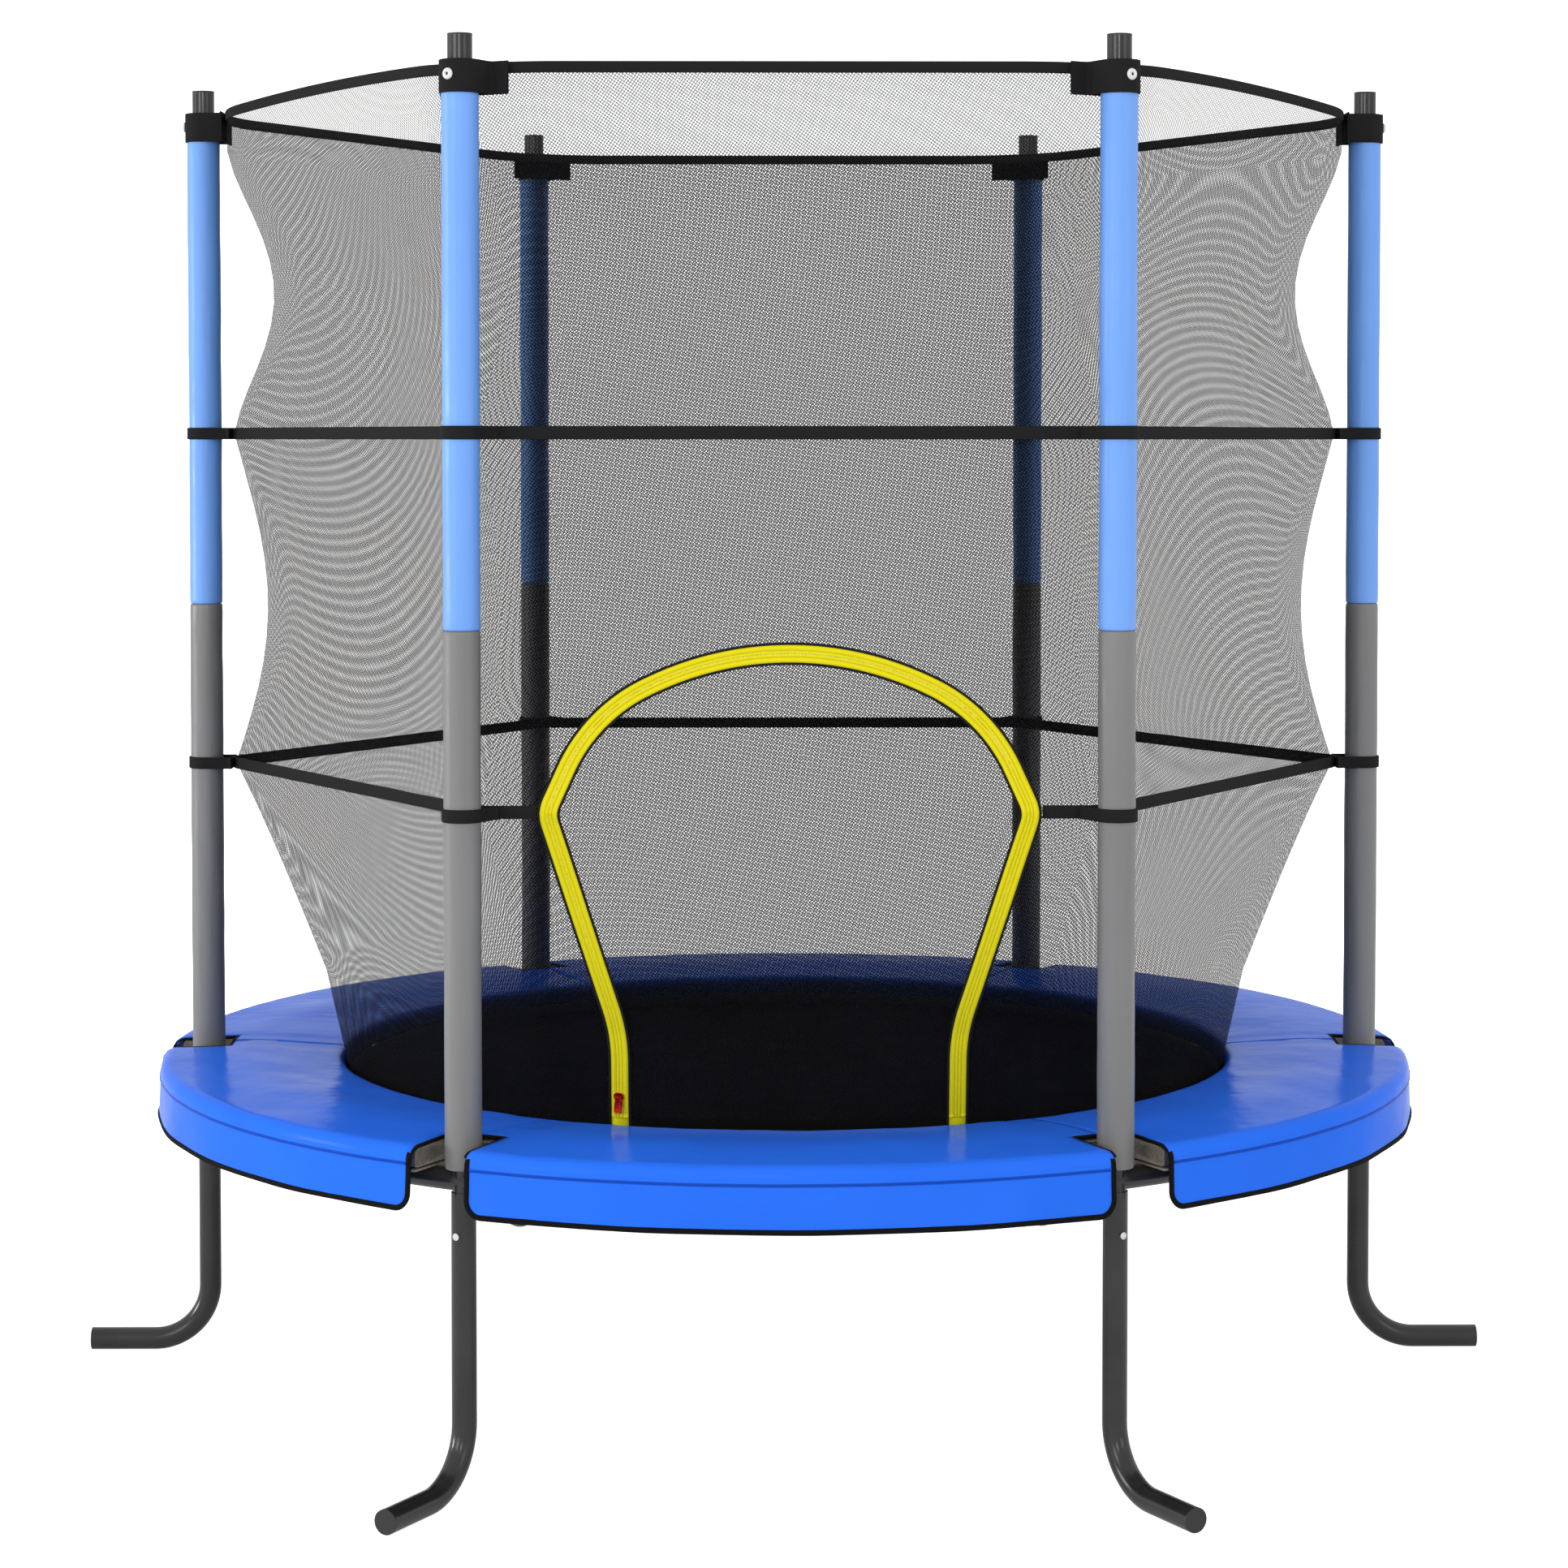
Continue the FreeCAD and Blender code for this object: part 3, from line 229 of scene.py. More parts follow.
def tube(path, radius, sides=10, closed_path=False):
    """A round tube along a path. Its profile lies square to the path, turned to one slant
    direction, so that it doesn't twist from point to point."""
    if closed_path:
        along = unit(np.roll(path, -1, 0) - np.roll(path, 1, 0))
    else:
        along = heading(path)
    out = unit(np.cross(along, [0.13, 0.21, 0.97]))
    turns = circle(sides)
    profile = together(np.cos(turns), np.sin(turns)) * radius
    return swept(path, out, np.cross(along, out), profile, closed_path)


def strap_profile(width, thickness, edge=4):
    """A flat bar's outline with round edges: width runs up, thickness out."""
    rounding = thickness / 2
    turns = np.linspace(-math.pi / 2, math.pi / 2, edge + 1)
    side = width / 2 - rounding + np.cos(turns) * rounding
    return np.concatenate([
        together(np.sin(turns[::-1]) * rounding, side),
        together(np.sin(turns) * rounding, -side),
    ])


def piece(name, patches, materials, body, replaces=(), weld=True):
    """One mesh object made of patches, welded where their points meet, that rides on a body."""
    counts = np.cumsum([0] + [len(p[0]) for p in patches])
    points = np.concatenate([p[0] for p in patches])
    quads = np.concatenate([p[1] + first for p, first in zip(patches, counts)])
    loops = np.concatenate([p[2] for p in patches])
    finish = np.concatenate([np.full(len(p[1]), p[3]) for p in patches])
    mesh = bpy.data.meshes.new(name)
    mesh.from_pydata(points, [], quads.tolist())
    layer = mesh.uv_layers.new(name="UVMap")
    layer.data.foreach_set("uv", loops.astype(np.float32).ravel())
    mesh.polygons.foreach_set("material_index", finish.astype(np.int32))
    mesh.polygons.foreach_set("use_smooth", np.full(len(quads), True))
    for material in materials:
        mesh.materials.append(material)
    made = bpy.data.objects.new(name, mesh)
    bpy.context.scene.collection.objects.link(made)
    if weld:
        bm = bmesh.new()
        bm.from_mesh(mesh)
        loose = [v for v in bm.verts if not v.link_faces]
        bmesh.ops.delete(bm, geom=loose, context="VERTS")
        bmesh.ops.remove_doubles(bm, verts=bm.verts, dist=0.000002)
        bm.to_mesh(mesh)
        bm.free()
    if body is not None:
        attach(made, body)
    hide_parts(*replaces)
    return made


# Net surface, as in the CAD source: height, corner radius and corner rounding of its levels, in
# tiers that meet in a fold
foot = (net_foot, 0.559, 0.548)
knee = (net_knee, 0.592, 0.4)
lower = (lower_band_height, 0.71, 0.03)
upper = (upper_band_height, 0.71, 0.03)
shoulder = (net_shoulder, 0.715, 0.19)
waist_radius = 0.666
neck_radius = 0.656


def way(first, last, share):
    """The value at a share of the way from the first to the last."""
    return first + (last - first) * share


net_tiers = [
    [foot, knee],
    [
        knee,
        (way(knee[0], lower[0], 0.27), way(knee[1], lower[1], 0.25), 0.3),
        (way(knee[0], lower[0], 0.52), way(knee[1], lower[1], 0.49), 0.2),
        lower,
    ],
    [
        lower,
        (way(lower[0], upper[0], 0.22), way(waist_radius, lower[1], 0.34), 0.12),
        (way(lower[0], upper[0], 0.48), waist_radius, 0.2),
        (way(lower[0], upper[0], 0.75), way(waist_radius, lower[1], 0.34), 0.12),
        upper,
    ],
    [
        upper,
        (way(upper[0], shoulder[0], 0.27), way(neck_radius, upper[1], 0.33), 0.13),
        (way(upper[0], shoulder[0], 0.52), neck_radius, 0.22),
        (way(upper[0], shoulder[0], 0.78), way(neck_radius, shoulder[1], 0.47), 0.2),
        shoulder,
    ],
    [shoulder, (net_top, *shoulder[1:])],
]
tier_rows = 14
net_rows = np.unique(np.concatenate([
    np.linspace(tier[0][0], tier[-1][0], tier_rows) for tier in net_tiers
]))


def net_size(height):
    """Corner radius and corner rounding at a height: in each tier, the polynomial through the
    tier's levels."""
    height = np.asarray(height, float)
    radius = np.zeros(height.shape)
    rounding = np.zeros(height.shape)
    for tier in net_tiers:
        levels, radii, roundings = np.array(tier).T
        inside = (height >= levels[0] - 1e-9) & (height <= levels[-1] + 1e-9)
        fit_radius = np.polyfit(levels - levels[0], radii, len(levels) - 1)
        fit_rounding = np.polyfit(levels - levels[0], roundings, len(levels) - 1)
        radius = np.where(inside, np.polyval(fit_radius, height - levels[0]), radius)
        rounding = np.where(inside, np.polyval(fit_rounding, height - levels[0]), rounding)
    return radius, rounding


def half_width(name, height):
    """Half the length of a stretch's section at a height: half the straight line and one arc."""
    half = stretch(name)[1] / 2
    radius, rounding = net_size(height)
    return (radius - rounding) * math.sin(half) + rounding * half


hem_rise_top = 0.008
hem_rise_foot = 1.5
hem_rise_reach = 0.09


def hem_rise(name, across, height):
    """How far the top of a side stretch is pulled up: a parabola across it, which grows with the
    square of the height above the rise's foot."""
    if name not in ("left_front", "right_front"):
        return 0.0
    near_top = np.clip((np.asarray(height) - hem_rise_foot) / hem_rise_reach, 0, 1) ** 2
    return hem_rise_top * near_top * (1 - (across / half_width(name, height)) ** 2)


def net_point(name, across, height, offset=0.0):
    """The point of the net at a distance across from the stretch's middle and at a height, moved
    outwards by offset. Past the straight line it turns round the arc's centre."""
    start, sweep = stretch(name)
    half = sweep / 2
    radius, rounding = net_size(height)
    straight = (radius - rounding) * math.sin(half)
    swing = np.clip((np.abs(across) - straight) / rounding, 0, None)
    reach = rounding + offset
    x = (radius - rounding) * math.cos(half) + reach * np.cos(swing)
    y = np.where(swing > 0, np.sign(across) * (straight + reach * np.sin(swing)), across)
    z = np.broadcast_to(height, x.shape) + hem_rise(name, across, height)
    return at_angle(together(x, y, z), start + half)


# Shader parts
def add(tree, kind, inputs=None, **settings):
    """A node with its settings, its inputs given as values or as sockets to link."""
    made = tree.nodes.new(kind)
    for key, value in settings.items():
        setattr(made, key, value)
    for key, value in (inputs or {}).items():
        if isinstance(value, bpy.types.NodeSocket):
            tree.links.new(value, made.inputs[key])
        else:
            made.inputs[key].default_value = value
    return made


def maths(tree, operation, first, second=0.0, third=0.0):
    """The result of a sum with up to three values or sockets."""
    values = {0: first, 1: second, 2: third}
    return add(tree, "ShaderNodeMath", values, operation=operation).outputs[0]


def ranged(tree, value, start, end, low=0.0, high=1.0, **settings):
    """A value that goes from low to high as another one goes from start to end."""
    limits = {"Value": value, "From Min": start, "From Max": end, "To Min": low, "To Max": high}
    return add(tree, "ShaderNodeMapRange", limits, **settings).outputs[0]


def blended(tree, mask, first, second):
    """A colour that goes from the first one to the second one with the mask."""
    inputs = {0: mask, 6: first, 7: second}
    return add(tree, "ShaderNodeMix", inputs, data_type="RGBA").outputs[2]


def new_group(name, inputs, outputs):
    """An empty node group. Inputs are names with their values, or None for a place; outputs are
    the names of values."""
    tree = bpy.data.node_groups.new(name, "ShaderNodeTree")
    for label, value in inputs.items():
        kind = "NodeSocketVector" if value is None else "NodeSocketFloat"
        made = tree.interface.new_socket(name=label, in_out="INPUT", socket_type=kind)
        if value is not None:
            made.default_value = value
    for label in outputs:
        tree.interface.new_socket(name=label, in_out="OUTPUT", socket_type="NodeSocketFloat")
    return tree, tree.nodes.new("NodeGroupInput").outputs, tree.nodes.new("NodeGroupOutput")


def make_weave_group():
    """Two sets of threads that cross. Cover is 1 on a thread and 0 in a hole, Height is the
    rounded form of the threads."""
    inputs = {"Place": None, "Threads per metre": 500.0, "Thread share": 0.33}
    tree, given, out = new_group("Woven threads", inputs, ["Cover", "Height"])
    axes = add(tree, "ShaderNodeSeparateXYZ", {0: given["Place"]}).outputs
    ridges = []
    for k in range(2):
        cycles = maths(tree, "MULTIPLY", axes[k], given["Threads per metre"])
        ridges.append(maths(tree, "MULTIPLY", maths(tree, "PINGPONG", cycles, 0.5), 2.0))
    softness = 0.08
    edge = maths(tree, "SUBTRACT", 1.0, given["Thread share"])
    high = maths(tree, "MAXIMUM", ridges[0], ridges[1])
    cover = ranged(tree, high, maths(tree, "SUBTRACT", edge, softness), maths(tree, "ADD", edge, softness))
    tree.links.new(cover, out.inputs["Cover"])
    tree.links.new(high, out.inputs["Height"])
    return tree


def make_mottle_group():
    """Soft cloudy noise, put out as a value from Low to High."""
    inputs = {"Place": None, "Scale": 20.0, "Detail": 3.0, "Low": 0.0, "High": 1.0}
    tree, given, out = new_group("Mottle", inputs, ["Value"])
    wanted = {"Vector": given["Place"], "Scale": given["Scale"], "Detail": given["Detail"]}
    noise = add(tree, "ShaderNodeTexNoise", wanted).outputs[0]
    tree.links.new(ranged(tree, noise, 0.3, 0.7, given["Low"], given["High"]), out.inputs["Value"])
    return tree


weave_group = make_weave_group()
mottle_group = make_mottle_group()


class Finish:
    """A material with one Principled shader and helpers that feed it."""

    def __init__(self, name, color, roughness, **constants):
        self.material = bpy.data.materials.new(name)
        self.material.use_nodes = True
        self.tree = self.material.node_tree
        self.shader = self.tree.nodes["Principled BSDF"]
        self.shader.inputs["Base Color"].default_value = (*color, 1)
        self.shader.inputs["Roughness"].default_value = roughness
        for key, value in constants.items():
            self.shader.inputs[key.replace("_", " ")].default_value = value
        coordinates = self.tree.nodes.new("ShaderNodeTexCoord").outputs
        self.place = coordinates["Object"]
        self.cloth = coordinates["UV"]

    def link(self, value, socket):
        """Feeds an input of the shader."""
        self.tree.links.new(value, self.shader.inputs[socket])

    def group(self, group, given):
        """The outputs of a node group in this material."""
        return add(self.tree, "ShaderNodeGroup", given, node_tree=group).outputs

    def mottle(self, low, high, scale, detail=3.0, stretch=None):
        """Cloudy values between low and high, the pattern stretched where told."""
        place = self.place
        if stretch is not None:
            place = add(self.tree, "ShaderNodeMapping", {"Vector": place, "Scale": stretch}).outputs[0]
        given = {"Place": place, "Scale": scale, "Detail": detail, "Low": low, "High": high}
        return self.group(mottle_group, given)["Value"]

    def threads(self, per_metre, share, place=None, angle=0.0):
        """The cover and height of crossing threads, turned on the cloth where told."""
        place = self.cloth if place is None else place
        if angle:
            slant = {"Vector": place, "Rotation": (0, 0, angle)}
            place = add(self.tree, "ShaderNodeMapping", slant).outputs[0]
        given = {"Place": place, "Threads per metre": per_metre, "Thread share": share}
        return self.group(weave_group, given)

    def colours(self, mask, first, second):
        """Base colour that goes from first to second with the mask."""
        self.link(blended(self.tree, mask, (*first, 1), (*second, 1)), "Base Color")

    def cloudy(self, scale, first, second, **pattern):
        """Base colour that drifts between two colours in clouds."""
        self.colours(self.mottle(0, 1, scale, **pattern), first, second)

    def gloss(self, scale, low, high):
        """Roughness that drifts between two values."""
        self.link(self.mottle(low, high, scale), "Roughness")

    def bump(self, height, strength, distance):
        """Adds a bump on top of the bumps that are there already."""
        given = {"Height": height, "Strength": strength, "Distance": distance}
        below = self.shader.inputs["Normal"]
        if below.is_linked:
            given["Normal"] = below.links[0].from_socket
        self.link(add(self.tree, "ShaderNodeBump", given).outputs[0], "Normal")

    def grain(self, scale, strength, distance, **pattern):
        """Adds a cloudy bump."""
        self.bump(self.mottle(0, 1, scale, **pattern), strength, distance)


# Materials
def painted_tube():
    """Black powder coat: fine orange peel and slightly uneven gloss."""
    made = Finish("black powder coat", (0.02, 0.02, 0.022), 0.22)
    made.cloudy(14, (0.014, 0.014, 0.015), (0.024, 0.024, 0.026))
    made.gloss(40, 0.18, 0.28)
    made.grain(900, 0.05, 0.0003, detail=2)
    return made.material


def zinc():
    """Bright zinc plate with faint cloudy patches."""
    made = Finish("zinc plate", (0.72, 0.73, 0.74), 0.3, Metallic=1.0)
    made.cloudy(220, (0.6, 0.61, 0.63), (0.8, 0.8, 0.8))
    made.gloss(300, 0.2, 0.42)
    return made.material


def bolt_head():
    """Bright plated head of a bolt, nearly white in even light."""
    made = Finish("bright bolt", (0.8, 0.8, 0.8), 0.45)
    made.cloudy(260, (0.7, 0.7, 0.71), (0.84, 0.84, 0.84))
    made.gloss(300, 0.35, 0.5)
    return made.material


def moulded_black():
    """Matt moulded plastic of caps and plugs."""
    made = Finish("black moulded plastic", (0.02, 0.02, 0.022), 0.5)
    made.gloss(60, 0.42, 0.6)
    made.grain(1400, 0.2, 0.0003, detail=2)
    return made.material


def sleeve_skin(name, color, shade):
    """Vinyl skin over soft foam: faint long creases and a fine pressed grain."""
    made = Finish(name, color, 0.4)
    made.cloudy(9, shade, color, stretch=(1, 1, 0.4))
    made.gloss(30, 0.32, 0.5)
    made.grain(60, 0.35, 0.0012, detail=4, stretch=(1, 1, 0.12))
    made.grain(1100, 0.12, 0.0003, detail=2)
    return made.material


def net_mesh():
    """Knitted safety net: fine black threads that wander a little, the holes nearly clear. Light
    that falls through it is dimmed more than the view is."""
    threads_per_metre = 330.0
    thread_share = 0.318
    drift = 0.004
    slant = 0.6
    hole_alpha = 0.15
    thread_alpha = 0.93
    shade_alpha = 0.85
    made = Finish("black net", (0.006, 0.006, 0.007), 0.85, Specular_IOR_Level=0.05)
    tree = made.tree
    wander = add(tree, "ShaderNodeTexNoise", {"Vector": made.cloth, "Scale": 2.2, "Detail": 0.0})
    moved = {0: wander.outputs["Color"], 1: (drift, drift, 0), 2: made.cloth}
    place = add(tree, "ShaderNodeVectorMath", moved, operation="MULTIPLY_ADD").outputs[0]
    threads = made.threads(threads_per_metre, thread_share, place=place, angle=slant)
    alpha = ranged(tree, threads["Cover"], 0.0, 1.0, hole_alpha, thread_alpha)
    seen = tree.nodes.new("ShaderNodeLightPath").outputs["Is Camera Ray"]
    less = maths(tree, "SUBTRACT", alpha, shade_alpha)
    made.link(maths(tree, "MULTIPLY_ADD", less, seen, shade_alpha), "Alpha")
    made.cloudy(8, (0.005, 0.005, 0.0055), (0.008, 0.008, 0.009))
    return made.material


def woven(name, color, roughness, specular, weave, first, second, strength, distance):
    """Cloth whose threads go from the first colour, painted shade in the gaps between them, to the
    second, painted light on their tops. Weave is what says the threads per metre, their share and their
    slant."""
    made = Finish(name, color, roughness, Specular_IOR_Level=specular)
    height = made.threads(**weave)["Height"]
    # Painted shade in the gaps between threads and painted light on their tops: the colour follows the
    # thread height.
    made.colours(height, first, second)
    made.bump(height, strength, distance)
    return made


def webbing(name, color, lit_thread_tops):
    """Woven strap: rows of threads on the slant, with painted light on their tops and painted shade
    between them.
    """
    weave = {"per_metre": 900.0, "share": 0.5, "angle": 0.6}
    made = woven(name, color, 0.85, 0.1, weave, color, lit_thread_tops, strength=0.5, distance=0.0005)
    return made.material


def zip_tape():
    """Bright tape cloth, finely ribbed, with painted shade between the ribs and painted light on their
    tops.
    """
    weave = {"per_metre": 1100.0, "share": 0.5}
    # Of these colours the second is painted shade between the ribs and the third is painted light on their
    # tops.
    plain, shaded_rib_gaps, bright = (0.84, 0.74, 0.004), (0.78, 0.68, 0.003), (0.88, 0.78, 0.005)
    made = woven("yellow zip tape", plain, 0.7, 0.2, weave, shaded_rib_gaps, bright, strength=0.25, distance=0.0003)
    return made.material


def mat_cloth():
    """Tightly woven polypropylene: flat tapes that cross, slightly shiny, with painted shade between the
    tapes and painted light on their tops.
    """
    weave = {"per_metre": 380.0, "share": 0.5}
    # Of these colours the second is painted shade between the tapes and the third is painted light on
    # their tops.
    plain, shaded_tape_gaps, top = (0.003, 0.003, 0.0035), (0.002, 0.002, 0.0022), (0.005, 0.005, 0.0055)
    made = woven("black mat cloth", plain, 0.9, 0.05, weave, shaded_tape_gaps, top, strength=0.5, distance=0.0008)
    made.gloss(12, 0.82, 0.95)
    return made.material


def zip_plastic():
    """Nylon teeth of the zip."""
    made = Finish("yellow zip teeth", (0.84, 0.74, 0.004), 0.6, Specular_IOR_Level=0.25)
    made.cloudy(200, (0.8, 0.7, 0.003), (0.87, 0.77, 0.005))
    made.gloss(300, 0.52, 0.68)
    return made.material


def red_paint():
    """Enamelled slider, a little worn."""
    made = Finish("red enamel", (0.5, 0.012, 0.005), 0.45, Specular_IOR_Level=0.2)
    made.cloudy(300, (0.44, 0.009, 0.004), (0.55, 0.015, 0.006))
    made.gloss(400, 0.4, 0.55)
    return made.material


def pad_vinyl(name, color, shade, seam):
    """Coated cloth: a taut glossy skin with a few soft creases, the cloth's threads just showing,
    and a thin dark line of painted shade along the groove of the skirt's seam."""
    made = Finish(name, color, 0.2, Specular_IOR_Level=0.02)
    tree = made.tree
    height = add(tree, "ShaderNodeSeparateXYZ", {0: made.cloth}).outputs[1]
    away = maths(tree, "ABSOLUTE", maths(tree, "SUBTRACT", height, seam))
    # Painted shade along the seam's groove: full within 0.6 mm of the seam, gone at 1.4 mm.
    seam_shade_mask = ranged(tree, away, 0.0006, 0.0014, 1.0, 0.0)
    seam_shade_colour = (color[0] * 0.4, color[1] * 0.4, color[2] * 0.5, 1)
    skin = blended(tree, made.mottle(0, 1, 7, 4), (*shade, 1), (*color, 1))
    made.link(blended(tree, seam_shade_mask, skin, seam_shade_colour), "Base Color")
    made.gloss(16, 0.15, 0.25)
    made.grain(22, 0.15, 0.001)
    made.bump(made.threads(1000.0, 0.5)["Height"], 0.04, 0.0002)
    return made.material


def cut_foam():
    """Cut foam: small open cells."""
    made = Finish("beige foam", (0.4, 0.36, 0.3), 0.85)
    made.cloudy(160, (0.3, 0.27, 0.22), (0.46, 0.42, 0.36), detail=4)
    made.grain(500, 0.8, 0.001, detail=4)
    return made.material


tube_finish = painted_tube()
zinc_finish = zinc()
bolt_finish = bolt_head()
plastic_finish = moulded_black()
blue_skin = sleeve_skin("blue sleeve vinyl", (0.175, 0.4, 0.94), (0.155, 0.37, 0.9))
grey_skin = sleeve_skin("grey sleeve vinyl", (0.215, 0.215, 0.215), (0.188, 0.188, 0.188))
net_finish = net_mesh()
# Each strap's second colour is painted light on its thread tops.
webbing_finish = webbing("black webbing", (0.01, 0.01, 0.011), (0.019, 0.019, 0.02))
binding_finish = webbing("black binding", (0.003, 0.003, 0.004), (0.006, 0.006, 0.007))
elastic_finish = webbing("black elastic", (0.012, 0.012, 0.013), (0.03, 0.03, 0.032))
tape_finish = zip_tape()
teeth_finish = zip_plastic()
red_finish = red_paint()
mat_finish = mat_cloth()
foam_finish = cut_foam()

cad_finishes = [
    (("frame_tube", "leg_", "pole_lower", "pole_upper"), tube_finish),
    (("foot_caps", "pole_end_plugs"), plastic_finish),
    (("leg_screws",), zinc_finish),
]
for starts, finish in cad_finishes:
    for node_name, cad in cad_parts.items():
        if node_name.startswith(starts):
            cad.data.materials.clear()
            cad.data.materials.append(finish)


# Camera: fitted to the poles, feet and pad edge of the photograph, taken as 1932 x 1932 pixels
image_side = 1932
focal_pixels = 4350.5
axis_row = 707.8
camera_yaw = 0.0081
camera_pitch = 0.0382
camera_data = bpy.data.cameras.new("camera")
camera_data.sensor_width = 36
camera_data.sensor_height = 36
camera_data.lens = focal_pixels / image_side * camera_data.sensor_width
camera_data.shift_y = (axis_row - image_side / 2) / image_side
camera = bpy.data.objects.new("camera", camera_data)
camera.location = (-0.0381, -4.5608, 1.1824)
camera.rotation_euler = (math.pi / 2 - camera_pitch, 0, -camera_yaw)
bpy.context.scene.collection.objects.link(camera)
bpy.context.scene.camera = camera


# Foam sleeves round the poles
sleeve_end_rises = np.array([0, 0, 0.0006, 0.002])
sleeve_end_insets = np.array([0.0066, 0.0022, 0.0008, 0.0002])
sleeve_end = 0.006
sleeve_calm_end = 0.02
sleeve_lump_room = 0.0002
sleeve_lump_width = 0.04
sleeve_rows = 60
sleeve_sides = 40


def sleeve(angle, foot, top):
    """A round skin whose radius swells and dips by a few tenths of a millimetre along its height,
    with rounded ends that close onto the tube: a surface of angle and height."""
    rows = np.linspace(foot + sleeve_end, top - sleeve_end, sleeve_rows)
    heights = np.concatenate([foot + sleeve_end_rises, rows, top - sleeve_end_rises[::-1]])
    inset = np.concatenate([sleeve_end_insets, np.zeros(sleeve_rows), sleeve_end_insets[::-1]])
    height, around = spread(heights, circle(sleeve_sides))
    lumps = Ripple(waves=7, size=0.00025, low=0.05, high=0.3).at(around * sleeve_lump_width, height)
    lumps *= np.minimum(1, np.minimum(height - foot, top - height) / sleeve_calm_end)
    radius = sleeve_radius - sleeve_lump_room - inset[:, None] + lumps
    local = together(pole_circle + radius * np.cos(around), radius * np.sin(around), height)
    cloth_up, cloth_round = spread(heights, np.append(circle(sleeve_sides), turn) * sleeve_radius)
    return flipped(patch(at_angle(local, angle), together(cloth_round, cloth_up), wrap_columns=True))


for label, foot_level, top_level, skin, slot_name in (
    ("foam_sleeves_lower", sleeve_foot, sleeve_join, grey_skin, "foam_grey"),
    ("foam_sleeves_upper", sleeve_join, sleeve_top, blue_skin, "foam_blue"),
):
    parts = [sleeve(angle, foot_level, top_level) for angle in pole_angles]
    made = piece(label.replace("foam_", "padded_"), parts, [skin], "root", [label])


# Safety net panels between the poles
panel_columns = 61


def full_panel(name):
    """One panel as a grid over its width and height."""
    shares, heights = spread(np.linspace(-1, 1, panel_columns), net_rows)
    across = shares * half_width(name, heights)
    return patch(net_point(name, across, heights), together(across, heights))


# The zip line seen from the front, from the left foot over the arch to the right foot
door_foot_half = 0.1935
door_corners = [
    (-door_foot_half, 0.355),
    (-door_foot_half, net_knee),
    (-0.272, 0.765),
    (-0.222, 0.876),
    (0, 0.9799),
]
door_corners += [(-x, z) for x, z in door_corners[-2::-1]]
door_bends = [0, 0.22, 0.035, 0.19, 0.36, 0.19, 0.035, 0.22, 0]
tooth_pitch = 0.0022
zip_step = tooth_pitch / 4
zip_line = rounded_route(door_corners, door_bends, zip_step)
zip_along = heading(zip_line)
zip_out = together(-zip_along[:, 1], zip_along[:, 0])
net_edge = 0.005
door_net_foot = 0.405


def front_arc(heights):
    """Where the front panel's arcs start from the middle, and their rounding."""
    radius, rounding = net_size(heights)
    return (radius - rounding) * math.sin(stretch("front")[1] / 2), rounding


def front_reach(heights):
    """Half the width of the front panel as it is seen from the front."""
    straight, rounding = front_arc(heights)
    return straight + rounding * math.sin(stretch("front")[1] / 2)


def on_front(flat, offset):
    """Points given from the front as (x, z), put on the front panel and moved out by offset."""
    sideways, height = flat[..., 0], flat[..., 1]
    straight, rounding = front_arc(height)
    swing = np.arcsin(np.clip((np.abs(sideways) - straight) / (rounding + offset), 0, 1))
    across = np.where(swing > 0, np.sign(sideways) * (straight + rounding * swing), sideways)
    return net_point("front", across, height, offset)


def front_panel():
    """The front panel round the door: rows run from the zip line out to the panel's border.
    Each border point is paired with the zip point that lies in the same direction from the
    middle of the panel's foot."""
    edge = zip_line + net_edge * zip_out
    edge = edge[edge[:, 1] >= net_foot][::-1]
    edge_angle = np.arctan2(edge[:, 1] - net_foot, edge[:, 0])
    corner = float(front_reach(net_top))
    tall = net_rows[-1] - net_foot
    side_angles = np.arctan((net_rows - net_foot) / tall * math.tan(math.atan2(tall, corner)))
    top_x = np.linspace(corner, -corner, panel_columns)[1:-1]
    border_angle = np.concatenate([side_angles, np.arctan2(tall, top_x), math.pi - side_angles[::-1]])
    widths = front_reach(net_rows)
    border = np.concatenate([
        together(widths, net_rows),
        together(top_x, net_rows[-1]),
        together(-widths[::-1], net_rows[::-1]),
    ])
    inner = together(*[np.interp(border_angle, edge_angle, column) for column in edge.T])
    outwards = 36
    flat = inner[:, None] + (border - inner)[:, None] * np.linspace(0, 1, outwards)[None, :, None]
    limit = front_reach(flat[..., 1])
    flat[..., 0] = np.clip(flat[..., 0], -limit, limit)
    return patch(on_front(flat, 0.0), flat)


def door_panel():
    """The door flap as a blend between its four sides: foot, two flanks and the arch. Each point
    is the sum of the blends across and up, less the blend of the four corners."""
    hip = 0.80
    count = 48
    edge = zip_line - net_edge * zip_out
    edge = edge[edge[:, 1] >= door_net_foot]
    left = edge[(edge[:, 0] < 0) & (edge[:, 1] <= hip)]
    arch = edge[edge[:, 1] >= left[-1, 1]]
    left = resampled(left, distances(left)[-1] / count)
    arch = resampled(arch, distances(arch)[-1] / count)
    right = left * [-1, 1]
    arch[0] = left[-1]
    arch[-1] = right[-1]
    foot_line = left[0] + np.linspace(0, 1, len(arch))[:, None] * (right[0] - left[0])
    v = np.linspace(0, 1, len(left))[None, :, None]
    u = np.linspace(0, 1, len(arch))[:, None, None]
    sides = (1 - u) * left[None] + u * right[None]
    ends = (1 - v) * foot_line[:, None] + v * arch[:, None]
    corners = (1 - u) * ((1 - v) * left[0] + v * left[-1]) + u * ((1 - v) * right[0] + v * right[-1])
    flat = sides + ends - corners
    return patch(on_front(flat, 0.0), flat)


